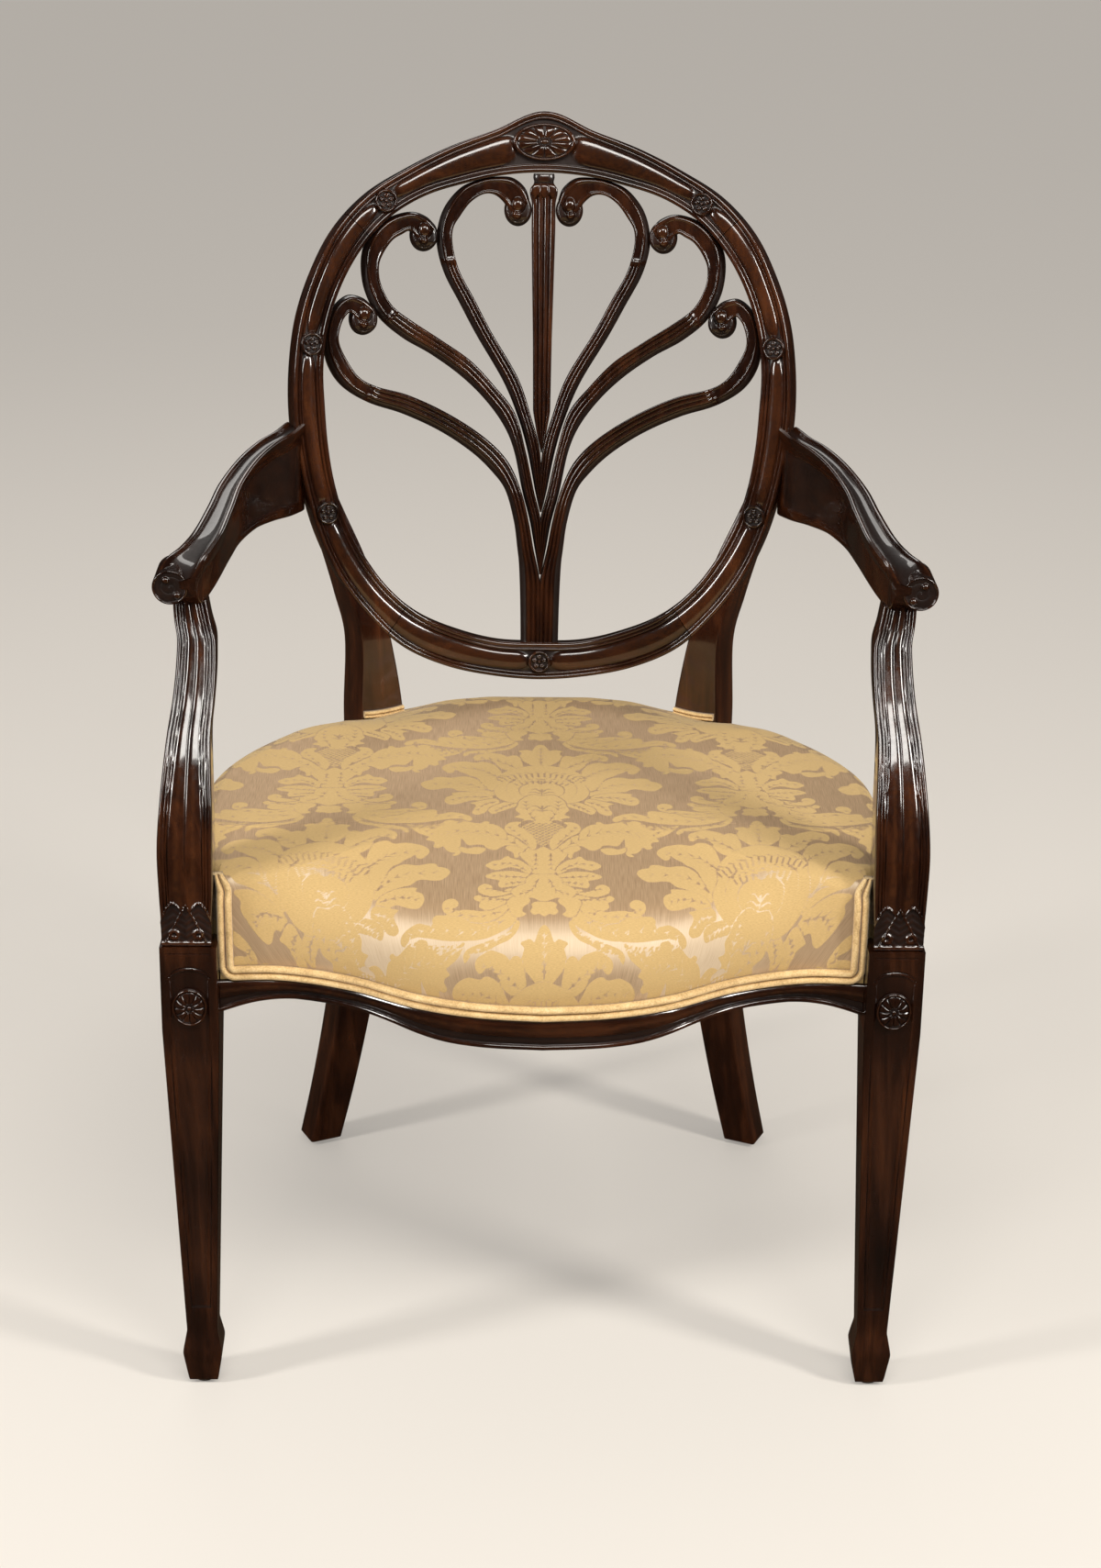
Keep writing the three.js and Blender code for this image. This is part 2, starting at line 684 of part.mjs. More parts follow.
// The value of a plan curve at a share of its run, found by halving.
function curveAt(curve, share) {
  let [low, high] = [0, 1];
  for (let i = 0; i < 24; i += 1) {
    const middle = (low + high) / 2;
    [low, high] = curve.getPoint(middle).x < share ? [middle, high] : [low, middle];
  }
  return curve.getPoint(low).y;
}

function frontRailY(x) {
  return -frontBow * curveAt(serpentine, Math.min(1, Math.abs(x) / seatHalfFront));
}

function frontRailFootZ(x) {
  return railFootZ + railArch * curveAt(archCurve, Math.min(1, Math.abs(x) / seatHalfFront));
}

// Plan of a side rail's outer face from the leg to inside the post:
// share of the way from the post out to the widest, depth share
const sidePlanShares = [
  [0.976, 0.076], [1, 0.19], [1, 0.33], [0.97, 0.5], [0.84, 0.67], [0.58, 0.81], [0.3, 0.895], [0.12, 0.942],
  [0, 0.98],
];
const sidePlan = new THREE.SplineCurve(sidePlanShares.map(([share, y]) => new THREE.Vector2(
  lerp(postSeatX - sideRailLap, seatHalfWide, share), y * seatDepth)));

// The side rail and the cover over it are made on the same stations, the last two inside the post.
const sideSteps = 11;
const coveredShare = 0.86;
const sideStations = Array.from({ length: sideSteps + 1 }, (_, i) => coveredShare * i / sideSteps);

function sidePoint(share, inset) {
  const point = sidePlan.getPoint(share);
  const along = sidePlan.getTangent(share);
  return new THREE.Vector2(point.x - along.y * inset, point.y + along.x * inset);
}

// Show wood below, with a bead and a hollow, a ledge for the welt, and the rebate for the cover above
function railProfile(footZ, thickness) {
  const show = showWoodTopZ - footZ;
  const mould = [[railMould, 0], [0, 0.15], [0, 0.4], [railMould, 0.5], [railMould, 0.7], [0, 0.82]];
  return [...mould.map(([inset, share]) => [inset, footZ + share * show]), [0, showWoodTopZ],
    [coverRebate, showWoodTopZ], [coverRebate, railTopZ], [thickness, railTopZ], [thickness, footZ]];
}

const legInnerX = legCentreX - legBlock / 2;
const legRearY = legCentreY + legBlock / 2;

function frontRailTenon(grow) {
  const y = railThickness / 2;
  const half = railTenonThickness / 2 + grow;
  return boxBetween(new THREE.Vector3(legInnerX - cutOverrun, y - half, tenonFootZ - grow),
    new THREE.Vector3(legInnerX + frontTenonLength + grow, y + half, tenonFootZ + railTenonHeight + grow));
}

function sideFrontTenon(grow) {
  const x = legCentreX - railTenonThickness / 2;
  const half = railTenonThickness / 2 + grow;
  const low = new THREE.Vector3(x - half, legRearY - sideTenonLength - grow, tenonFootZ - grow);
  return boxBetween(low,
    new THREE.Vector3(x + half, legRearY + cutOverrun, tenonFootZ + railTenonHeight + grow));
}

function sideRearTenon(grow) {
  const width = railTenonThickness + 2 * grow;
  const length = rearTenonLength + cutOverrun + 2 * grow;
  const height = railTenonHeight + 2 * grow;
  const taper = Math.pow(1 - tenonFootZ / postSeatZ, 0.8);
  const front = lerp(postSeatDepth, postFootDepth, taper) / 2;
  const out = postSeatWidth / 4;
  return new THREE.BoxGeometry(width, length, height)
    .translate(out, length / 2 - front - cutOverrun - grow, 0)
    .rotateZ(-postTurn)
    .translate(postSeatX, postSeatY, tenonFootZ + railTenonHeight / 2);
}

function rearRailTenon(grow) {
  const y = seatDepth - rearRailThickness / 2;
  const root = postSeatX - postSeatWidth / 2 - railTenonThickness;
  return boxBetween(new THREE.Vector3(root, y - railTenonThickness / 2 - grow, tenonFootZ - grow),
    new THREE.Vector3(root + rearTenonLength + grow, y + railTenonThickness / 2 + grow,
      tenonFootZ + railTenonHeight + grow));
}

function frontRail() {
  const end = legInnerX - jointGap;
  const steps = 26;
  const rings = [];
  for (let i = 0; i <= steps; i += 1) {
    const x = lerp(-end, end, i / steps);
    rings.push(railProfile(frontRailFootZ(x), railThickness).map(([inset, z]) => (
      new THREE.Vector3(x, frontRailY(x) + inset, z))));
  }
  const hole = blockScrewHole(frontBlockScrews()[0]);
  return join(cut(ringSolid(rings), hole, mirrored(hole)), frontRailTenon(0), mirrored(frontRailTenon(0)));
}

function sideRail() {
  const rings = [...sideStations, 0.93, 1].map((share) => railProfile(railFootZ, railThickness)
    .map(([inset, z]) => {
      const point = sidePoint(share, inset);
      return new THREE.Vector3(point.x, share === 0 ? legRearY + jointGap : point.y, z);
    }));
  const body = cut(ringSolid(rings), rearPost(jointGap), blockScrewHole(frontBlockScrews()[1]),
    blockScrewHole(rearBlockScrews()[1]));
  return join(body, sideFrontTenon(0), sideRearTenon(0));
}

function rearRail() {
  const half = postSeatX - railTenonThickness;
  const ring = (x) => railProfile(railFootZ, rearRailThickness).map(([inset, z]) => (
    new THREE.Vector3(x, seatDepth - inset, z)));
  const post = rearPost(jointGap);
  const hole = blockScrewHole(rearBlockScrews()[0]);
  const body = cut(ringSolid([ring(-half), ring(half)]), post, mirrored(post), hole, mirrored(hole));
  return join(body, rearRailTenon(0), mirrored(rearRailTenon(0)));
}

// Corner blocks, glued and screwed inside the rails

function plate(points, footZ, height) {
  const ring = (z) => points.map(([x, y]) => new THREE.Vector3(x, y, z));
  return ringSolid([ring(footZ), ring(footZ + height)]);
}

function frontInnerPoint(x) {
  return [x, frontRailY(x) + railThickness + softGap];
}

function frontBlock() {
  const near = legInnerX - softGap;
  const shares = [0, 0.33, 0.67, 1];
  const alongFront = shares.map((share) => frontInnerPoint(lerp(near - blockReach, near, share)));
  const behindLeg = legRearY + softGap;
  const sideX = sidePoint(0, railThickness + softGap).x;
  const rear = sidePoint(0.14, railThickness + softGap);
  const corner = [[near, behindLeg], [sideX, behindLeg], [rear.x, rear.y]];
  const rearSlope = [rear.x - blockBack, rear.y + blockBack / 4];
  const slope = [rearSlope, [near - blockReach, alongFront[0][1] + blockBack]];
  return plate([...alongFront, ...corner, ...slope], blockFootZ, blockHeight);
}

// Screws of a block: head point and the way it drives
function frontBlockScrews() {
  const z = blockFootZ + blockHeight / 2;
  const x = legInnerX - blockReach / 2;
  const side = sidePoint(0.088, railThickness);
  const depth = screwLength - screwBite;
  return [
    [new THREE.Vector3(x, frontRailY(x) + railThickness + depth, z), new THREE.Vector3(0, -1, 0)],
    [new THREE.Vector3(side.x - depth, side.y, z), new THREE.Vector3(1, 0, 0)],
  ];
}

function rearBlockScrews() {
  const z = blockFootZ + blockHeight / 2;
  const depth = screwLength - screwBite;
  const x = postSeatX - postSeatWidth;
  const side = sidePoint(0.8, railThickness);
  const along = sidePlan.getTangent(0.8);
  const outward = new THREE.Vector3(along.y, -along.x, 0);
  return [
    [new THREE.Vector3(x, seatDepth - rearRailThickness - depth, z), new THREE.Vector3(0, 1, 0)],
    [new THREE.Vector3(side.x, side.y, z).addScaledVector(outward, -depth), outward],
  ];
}

function blockScrewHole([head, drive]) {
  const shank = rod(head.clone().addScaledVector(drive, -cutOverrun),
    head.clone().addScaledVector(drive, screwLength + jointGap), screwRadius + jointGap, 8);
  const recess = rod(head.clone().addScaledVector(drive, -blockReach),
    head.clone().addScaledVector(drive, screwHeadRise + jointGap), screwHeadRadius + jointGap, 12);
  return join(shank, recess);
}

function screwSolid(head, drive, length) {
  const profile = [[0, 0], [screwHeadRadius, 0], [screwRadius, screwHeadRise],
    [screwRadius, length - screwHeadRise],
    [0, length]];
  const turn = new THREE.Quaternion().setFromUnitVectors(up, drive);
  return turned(profile, 8).applyQuaternion(turn).translate(head.x, head.y, head.z);
}

function rearBlock() {
  const inner = seatDepth - rearRailThickness - softGap;
  const far = postSeatX - postSeatWidth / 2 - blockReach * 0.8;
  const alongSide = [1, 0.92, 0.84, 0.77, 0.7].map((share) => sidePoint(share, railThickness + softGap))
    .map((point) => [point.x, point.y]);
  const end = sidePoint(0.7, railThickness + softGap + blockBack);
  const behind = [[far, inner], [postSeatX - postSeatWidth / 2 - softGap, inner]];
  const outline = [...behind, ...alongSide, [end.x, end.y], [far, inner - blockBack]];
  const holes = rearBlockScrews().map(blockScrewHole);
  return cut(plate(outline, blockFootZ, blockHeight), rearPost(softGap), ...holes);
}

// Arm: upright sections along its plan, with a moulded top over a thinner web

// Reach share from the post, share of the spread from the stile outwards, and width, top and height shares
const armStationShares = [
  [0, 0, 0.578, 1, 0.112], [0.083, 0.091, 0.597, 0.998, 0.105], [0.16, 0.230, 0.578, 0.995, 0.098],
  [0.282, 0.375, 0.578, 0.989, 0.086], [0.436, 0.493, 0.616, 0.979, 0.073],
  [0.589, 0.544, 0.674, 0.970, 0.061], [0.742, 0.601, 0.751, 0.962, 0.052],
  [0.865, 0.659, 0.828, 0.961, 0.047], [0.942, 0.709, 0.924, 0.961, 0.046], [0.985, 0.743, 1, 0.958, 0.044],
];
const armFootY = backPoint(ovalHalfWidth, armRiseShare * ovalHeight, ovalDepth).y - armRootLap;
const armReach = armFootY - armFrontY;

// Section of the arm: half-width share, lips below the top, and from there a share of the height
const armTopShares = [[-0.36, 0], [-0.2, 0.3], [0.2, 0.3], [0.36, 0], [0.5, 0.35], [0.5, 0.8], [0.42, 1.15]];
const armWebShares = [[0.38, 0.9], [0.3, 1], [-0.3, 1], [-0.38, 0.9]];

function armRing([reachShare, spreadShare, widthShare, topShare, heightShare], turn) {
  const width = widthShare * armWidth;
  const top = topShare * armTopZ;
  const height = heightShare * armTopZ;
  const x = lerp(armRootX, armSpread, spreadShare);
  const place = (half, z) => new THREE.Vector3(x + half * width * Math.cos(turn),
    armFootY - reachShare * armReach + half * width * Math.sin(turn), z);
  const upper = armTopShares.map(([half, drop]) => place(half, top - drop * armLip));
  const web = armWebShares.map(([half, share]) => place(half, top - share * height));
  const nearShares = [[-0.42, 1.15], [-0.5, 0.8], [-0.5, 0.35]];
  const near = nearShares.map(([half, drop]) => place(half, top - drop * armLip));
  return [...upper, ...web, ...near];
}

function armBody() {
  const columns = [0, 1, 2, 3, 4].map((c) => armStationShares.map((station) => station[c]));
  const steps = 16;
  const lastStation = armStationShares.length - 1;
  const halfStep = 1 / 2;
  const station = (place) => columns.map((column) => smoothEnd(column, place));
  const rings = [];
  for (let i = 0; i <= steps; i += 1) {
    const place = i * lastStation / steps;
    const before = station(Math.max(0, place - halfStep));
    const after = station(Math.min(lastStation, place + halfStep));
    const spread = (after[1] - before[1]) * (armSpread - armRootX);
    const reach = (after[0] - before[0]) * armReach;
    rings.push(armRing(station(place), Math.atan2(spread, reach)));
  }
  return ringSolid(rings);
}

// As smoothShare, but running straight on past the ends.
function smoothEnd(shares, place) {
  const last = shares.length - 1;
  const longer = [2 * shares[0] - shares[1], ...shares, 2 * shares[last] - shares[last - 1]];
  return smoothShare(longer, Math.min(place, last) + 1);
}

function armScrewHole() {
  const [head, tip, aim] = armScrewEnds();
  const shank = rod(head, tip.clone().addScaledVector(aim, jointGap), screwRadius + jointGap, 8);
  const recess = rod(head.clone().addScaledVector(aim, -cutOverrun * 2),
    head.clone().addScaledVector(aim, screwHeadRise + jointGap), screwHeadRadius + jointGap, 12);
  return join(shank, recess);
}

function supportTopPoint() {
  const ring = supportRing(supportStationShares[supportStationShares.length - 1]);
  return ring.reduce((total, point) => total.add(point), new THREE.Vector3()).divideScalar(ring.length);
}

function arm() {
  const scroll = turned([[0, 0], [0.94, 0], [1, 0.05], [1, 0.97], [0.9, 1], [0, 1]].map(([r, h]) => (
    [r * scrollRadius, h * scrollLength])), 16);
  scroll.rotateX(-Math.PI / 2).translate(scrollX, scrollFrontY, scrollZ);
  const grownStrip = ovalStrip(crestJointTurn, lowerJointTurn,
    [[-0.1, -jointGap], [1 + jointGap / ovalFaceWidth, -jointGap],
      [1 + jointGap / ovalFaceWidth, ovalDepth + jointGap], [-0.1, ovalDepth + jointGap]]);
  const foot = supportTopPoint();
  const dowelHole = rod(foot.clone().setZ(foot.z - cutOverrun),
    foot.clone().setZ(foot.z + armDowelLength + jointGap), dowelRadius + jointGap, 12);
  const supportTop = ringSolid([supportRing(supportStationShares[supportStationShares.length - 2]),
    foot.z].map((entry) => (Array.isArray(entry) ? entry : supportRing(
    supportStationShares[supportStationShares.length - 1]).map((point) => point.setZ(entry + jointGap)))));
  return cut(join(armBody(), scroll), grownStrip, rearPost(jointGap), armScrewHole(), supportTop, dowelHole);
}

// Support: rise share, across from the leg's middle, sweep share, width share, depth share
const supportStationShares = [
  [0, 0.06, 0, 0.97, 1], [0.09, 0.06, 0.01, 1, 1], [0.17, 0.06, 0.03, 1.05, 0.97],
  [0.3, 0.08, 0.07, 1.08, 0.92],
  [0.42, 0.05, 0.16, 1.04, 0.84], [0.54, 0.02, 0.30, 0.94, 0.76], [0.63, -0.02, 0.44, 0.86, 0.7],
  [0.71, -0.13, 0.58, 0.82, 0.66], [0.78, -0.2, 0.68, 0.8, 0.64], [0.84, -0.22, 0.76, 0.78, 0.62],
  [0.89, -0.2, 0.82, 0.76, 0.62], [0.94, -0.12, 0.88, 0.74, 0.62], [1, -0.04, 0.93, 0.72, 0.62],
];

// Broad round between two side beads on the front, eased corners behind
const supportSectionShares = [
  [-0.5, 0.1], [-0.42, 0.02], [-0.3, 0.1], [0, 0], [0.3, 0.1], [0.42, 0.02], [0.5, 0.1], [0.5, 0.88],
  [0.4, 1], [-0.4, 1], [-0.5, 0.88],
];

function supportRing([riseShare, acrossShare, sweepShare, widthShare, depthShare]) {
  const front = legCentreY - legBlock / 2 + supportSetback;
  const z = legTopZ + jointGap + riseShare * (supportRise - jointGap);
  return supportSectionShares.map(([x, y]) => new THREE.Vector3(
    legCentreX + (acrossShare * 0.5 + x * widthShare) * supportWidth,
    front + sweepShare * supportSweep + y * depthShare * supportDepth, z));
}

function armSupport() {
  const foot = new THREE.Vector3(legCentreX, legCentreY, 0);
  const dowel = rod(foot.clone().setZ(legTopZ - dowelLength), foot.clone().setZ(legTopZ + cutOverrun),
    dowelRadius, 12);
  const top = supportTopPoint();
  const armDowel = rod(top.clone().setZ(top.z - cutOverrun), top.clone().setZ(top.z + armDowelLength),
    dowelRadius, 12);
  return join(ringSolid(supportStationShares.map(supportRing)), dowel, armDowel);
}

// Upholstery

// Half of the seat's outline in plan, from the middle of the front round to the middle of the rear.
// The corners lie inside the legs and posts, which are cut out of the soft pieces afterwards.
const frontSteps = 8;
const rearSteps = 2;

function seatOutline(inset) {
  const points = [];
  for (let i = 0; i <= frontSteps; i += 1) {
    const x = (legInnerX - weltWidth) * i / frontSteps;
    points.push([x, frontRailY(x) + inset]);
  }
  points.push([legInnerX, frontRailY(legInnerX) + inset]);
  points.push([legCentreX + legBlock / 6 - inset, frontRailY(seatHalfFront) + legBlock / 5 + inset]);
  points.push(...sideStations.map((share) => sidePoint(share, inset)).map((point) => [point.x, point.y]));
  points.push([postSeatX + inset / 2, seatDepth - postSeatDepth / 4 - inset / 2]);
  for (let i = 0; i <= rearSteps; i += 1) {
    points.push([lerp(postSeatX - postSeatWidth / 6, 0, i / rearSteps), seatDepth - inset]);
  }
  return points;
}

// Levels of the seat from its foot to the crown: inset share of the roll, height share
const weltShare = weltWidth / (seatCrownZ - coverFootZ);
const seatRollShares = [
  [0, 0], [0, weltShare], [-0.03, 0.26], [-0.01, 0.42], [0.09, 0.58], [0.28, 0.71], [0.62, 0.82], [1.2, 0.9],
  [2.1, 0.965], [3.2, 1],
];
const seatCentre = new THREE.Vector2(0, seatDepth * 0.44);

// How far the roll draws in at a depth of the seat: broad along the front, tight round the sides and rear
function rollShare(y) {
  const side = smoothstep(y, 0, 0.23 * seatDepth);
  const rear = smoothstep(y, 0.46 * seatDepth, 0.81 * seatDepth);
  return lerp(1, lerp(sideRollShare, rearRollShare, rear), side);
}

// The crown rises towards the middle of the rear and is pulled down beside the posts.
function crownLift(point) {
  const across = point.x / seatHalfWide;
  const domed = (1 - across * across) * smoothstep(point.y, 0, seatDepth);
  const toPost = Math.hypot(Math.abs(point.x) - postSeatX, point.y - postSeatY);
  return crownRise * domed - postPull * (1 - smoothstep(toPost, 0, postPullReach));
}

// A point of the outline drawn in and lifted to its level; near the legs and posts the edge stands fuller.
function rolledPoint([x, y], [insetShare, heightShare], topDrop) {
  const point = new THREE.Vector2(x, y);
  const legOpen = smoothstep(point.distanceTo(new THREE.Vector2(legInnerX, legCentreY)), 0, cornerReach);
  const postOpen = smoothstep(point.distanceTo(new THREE.Vector2(postSeatX, postSeatY)), 0, cornerReach);
  const open = Math.max(Math.min(legOpen, postOpen), Math.min(1, insetShare / 3));
  const drawn = rollShare(y) * lerp(insetShare < 0 ? 0 : 0.35, 1, open);
  const reach = seatCentre.distanceTo(point);
  point.lerp(seatCentre, insetShare * rollReach * drawn / reach);
  const cornerRise = (1 - legOpen) * cornerLift * Math.sin(Math.PI * heightShare) * heightShare;
  const lift = cornerRise + crownLift(point) * heightShare * heightShare;
  return new THREE.Vector3(point.x, point.y, lerp(coverFootZ, seatCrownZ - topDrop, heightShare) + lift);
}

function seatGrid(inset, topDrop) {
  const outline = seatOutline(inset);
  return seatRollShares.map((level) => outline.map((point) => rolledPoint(point, level, topDrop)));
}

function leftOf(point) {
  return new THREE.Vector3(-point.x, point.y, point.z);
}

// A closed crowned solid on the levels of the seat, with its foot moved to a height of its own.
function seatBody(inset, topDrop, footZ, skipLevels) {
  const grid = seatGrid(inset, topDrop);
  const levels = [grid[0].map((point) => point.setZ(footZ)), ...grid.slice(skipLevels + 1)];
  return ringSolid(levels.map((half) => [...half, ...half.slice(1, -1).reverse().map(leftOf)]));
}

function softCutters() {
  const grow = softGap;
  const standing = boxBetween(
    new THREE.Vector3(legInnerX - grow, legCentreY - legBlock / 2 - frontBow, railFootZ),
    new THREE.Vector3(legCentreX + legBlock, legRearY + grow, seatCrownZ));
  return [standing, mirrored(toGeometry(toSolid(standing))), rearPost(grow), mirrored(rearPost(grow))];
}

function seatCover() {
  const shell = seatBody(coverInset, 0, coverFootZ, 0);
  const hollow = seatBody(coverInset + coverThickness, coverThickness, coverFootZ - cutOverrun, 0);
  return cut(shell, hollow, ...softCutters());
}

function seatPad() {
  const inset = coverInset + coverThickness + softGap;
  return cut(seatBody(inset, coverThickness + softGap, padFootZ, 3), ...softCutters());
}

// Places of the straps from front to back, in pitches from the middle
const webbingPlaceShares = [-1.5, -0.5, 0.5, 1.5];

function webbing() {
  const z = railTopZ + jointGap;
  const strip = (low, high) => boxBetween(new THREE.Vector3(low[0], low[1], z),
    new THREE.Vector3(high[0], high[1], z + webbingThickness));
  const strips = [];
  for (const placeShare of webbingPlaceShares) {
    const x = placeShare * webbingPitch;
    const front = frontRailY(Math.abs(x) + webbingWidth / 2) + coverRebate + webbingLap;
    strips.push(strip([x - webbingWidth / 2, front], [x + webbingWidth / 2, seatDepth - webbingLap]));
  }
  for (let i = 0; i < 5; i += 1) {
    const y = firstCrossWebbingY + i * crossWebbingPitch;
    const half = sideHalfAt(y + webbingWidth / 2) - webbingLap;
    strips.push(strip([-half, y - webbingWidth / 2], [half, y + webbingWidth / 2]));
  }
  return join(strips[0], ...strips.slice(1));
}

// Half width of the seat at a depth, found by halving along the side plan.
function sideHalfAt(y) {
  let [low, high] = [0, 1];
  for (let i = 0; i < 24; i += 1) {
    const middle = (low + high) / 2;
    [low, high] = sidePlan.getPoint(middle).y < y ? [middle, high] : [low, middle];
  }
  return sidePlan.getPoint(low).x;
}

function dustCover() {
  const half = [];
  for (let i = 0; i <= 6; i += 1) {
    half.push(frontInnerPoint(legInnerX * i / 6));
  }
  for (let i = 0; i <= 6; i += 1) {
    const point = sidePoint(0.83 * i / 6, dustCoverLap);
    half.push([point.x, point.y]);
  }
  half.push([postSeatX, seatDepth - dustCoverLap], [0, seatDepth - dustCoverLap]);
  const left = half.slice(1, -1).reverse().map(([x, y]) => [-x, y]);
  const sheet = plate([...half, ...left], railFootZ - jointGap - dustCoverThickness, dustCoverThickness);
  const [leg, post] = [legBody(softGap), rearPost(softGap)];
  return cut(sheet, leg, mirrored(leg), post, mirrored(post));
}

// Two cords side by side: across share, rise share
const weltProfileShares = [
  [0, 0], [0.04, 0.6], [0.25, 1], [0.46, 0.6], [0.5, 0.4], [0.54, 0.6], [0.75, 1], [0.96, 0.6], [1, 0],
];

// A double welt between a low edge path and a high edge path on the cover, standing out from it.
function welt(stations) {
  return ringSolid(stations.map(([low, high, out]) => weltProfileShares.map(([share, rise]) => (
    low.clone().lerp(high, share).addScaledVector(out, jointGap + rise * weltThickness)))));
}

// Along the foot of the cover and up both its front corners, beside the legs
function frontWelt() {
  const grid = seatGrid(coverInset, 0);
  const ahead = new THREE.Vector3(0, -1, 0);
  const foot = grid[0].slice(0, frontSteps + 1).map((low, i) => [low, grid[1][i], ahead]);
  const corner = grid.slice(0, weltLevels).map((level) => [level[frontSteps + 1], level[frontSteps], ahead]);
  corner.forEach(([outer, inner]) => {
    outer.set(legInnerX - jointGap, outer.y - softGap, outer.z);
    inner.setY(inner.y - softGap);
  });
  const half = [...foot.slice(0, frontSteps), ...corner];
  const left = half.slice(1).reverse().map(([low, high, way]) => [leftOf(low), leftOf(high), way]);
  return welt([...left, ...half]);
}

function sideWelt() {
  const grid = seatGrid(coverInset, 0);
  const first = frontSteps + 3;
  const stations = [];
  for (let i = first; i <= first + sideSteps; i += 1) {
    const along = grid[0][i + 1].clone().sub(grid[0][i - (i === first ? 0 : 1)]);
    const out = new THREE.Vector3(along.y, -along.x, 0).normalize();
    stations.push([grid[0][i], grid[1][i], out]);
  }
  return cut(welt(stations), rearPost(softGap), ...softCutters().slice(0, 1));
}

function rearWelt() {
  const grid = seatGrid(coverInset, 0);
  const first = grid[0].length - 1 - rearSteps;
  const behind = new THREE.Vector3(0, 1, 0);
  const half = grid[0].slice(first).map((low, i) => [low, grid[1][first + i], behind]);
  const left = half.slice(0, -1).reverse().map(([low, high, way]) => [leftOf(low), leftOf(high), way]);
  return cut(welt([...half, ...left]), rearPost(softGap), mirrored(rearPost(softGap)));
}

// Short gimp along the front of a post, its foot cut to the cloth that it lies on
function postGimp() {
  const width = postSeatWidth - 2 * postChamfer;
  const [atPost] = seatRollShares.slice(-2);
  const clothZ = rolledPoint([postSeatX, seatDepth - coverInset], atPost, 0).z;
  const strip = new THREE.BoxGeometry(width, gimpThickness, 2 * gimpHeight, 6, 1, 1)
    .translate(0, -postSeatDepth / 2 - softGap * 2 - gimpThickness / 2, 0)
    .rotateZ(-postTurn)
    .translate(postSeatX, postSeatY, clothZ);
  return cut(strip, seatBody(coverInset, -softGap, coverFootZ, 0));
}

// Finishes

function finish(colour, roughness, metalness) {
  return new THREE.MeshStandardMaterial({ color: colour, roughness, metalness });
}

const mahogany = finish(0x4a2012, 0.28, 0);
const frameWood = finish(0x8a6844, 0.7, 0);
const steel = finish(0xb0b0ac, 0.35, 1);
const damask = finish(0xc8a468, 0.55, 0);
const weltCloth = finish(0xd9bd82, 0.6, 0);
const padding = finish(0xe4dfd2, 0.95, 0);
const jute = finish(0xa88a5c, 0.9, 0);
const cambric = finish(0x2a2828, 0.9, 0);

const chair = new THREE.Group();

function addPiece(name, geometry, material) {
  const mesh = new THREE.Mesh(geometry, material);
  mesh.name = name;
  chair.add(mesh);
}

function addPair(name, geometry, material) {
  const plain = geometry.index ? geometry : mergeVertices(stripped(geometry));
  addPiece(`${name}_right`, plain, material);
  addPiece(`${name}_left`, mirrored(plain), material);
}

addPair('front_leg', frontLeg(), mahogany);
addPair('front_leg_patera', legPatera(), mahogany);
addPair('rear_leg', rearLeg(), mahogany);
addPair('front_glide', glide(legCentreX, legCentreY), steel);
addPair('rear_glide', glide(...postFootCentre()), steel);
addPair('arm_support', armSupport(), mahogany);
addPair('arm', arm(), mahogany);
addPair('arm_screw', screwSolid(armScrewEnds()[0], armScrewEnds()[2], armScrewLength), steel);

addPiece('crest_rail', crestRail(), mahogany);
addPiece('lower_back_rail', lowerRail(), mahogany);
addPiece('splat_centre_bar', centreBar(), mahogany);
addPair('splat_inner_branch', branch(innerEdgeShares, voluteShares.inner), mahogany);
addPair('splat_middle_branch', branch(middleEdgeShares, voluteShares.middle), mahogany);
addPair('splat_outer_branch', branch(ribEdgeShares, voluteShares.outer), mahogany);

const rosetteNames = ['upper_rosette', 'side_rosette', 'lower_rosette'];
const rosetteAt = (turn) => onBack(rosette(12), ...ovalPoint(turn, 0.5), rosetteSeatDepth - jointGap);
rosetteTurns.forEach((turn, i) => {
  addPair(rosetteNames[i], rosetteAt(turn), mahogany);
});
addPiece('bottom_rosette', rosetteAt(Math.PI), mahogany);
addPiece('crest_patera', onBack(patera(crestPateraWidth, crestPateraHeight, 20), ...ovalPoint(0, 0.5),
  rosetteSeatDepth - jointGap), mahogany);

addPiece('front_seat_rail', frontRail(), mahogany);
addPair('side_seat_rail', sideRail(), mahogany);
addPiece('rear_seat_rail', rearRail(), mahogany);
addPair('front_corner_block', cut(frontBlock(), ...frontBlockScrews().map(blockScrewHole)), frameWood);
addPair('rear_corner_block', rearBlock(), frameWood);
frontBlockScrews().forEach(([head, drive], i) => {
  addPair(`front_block_screw_${i + 1}`, screwSolid(head, drive, screwLength), steel);
});
rearBlockScrews().forEach(([head, drive], i) => {
  addPair(`rear_block_screw_${i + 1}`, screwSolid(head, drive, screwLength), steel);
});

addPiece('seat_webbing', webbing(), jute);
addPiece('seat_pad', seatPad(), padding);
addPiece('seat_cover', seatCover(), damask);
addPiece('front_double_welt', frontWelt(), weltCloth);
addPair('side_double_welt', sideWelt(), weltCloth);
addPiece('rear_double_welt', rearWelt(), weltCloth);
addPair('post_gimp', postGimp(), weltCloth);
addPiece('dust_cover', dustCover(), cambric);

// The origin goes to the floor under the middle of the whole chair.
const span = new THREE.Box3().setFromObject(chair);
const middle = span.getCenter(new THREE.Vector3());
chair.children.forEach((piece) => piece.geometry.translate(0, -middle.y, -span.min.z));

export default chair;
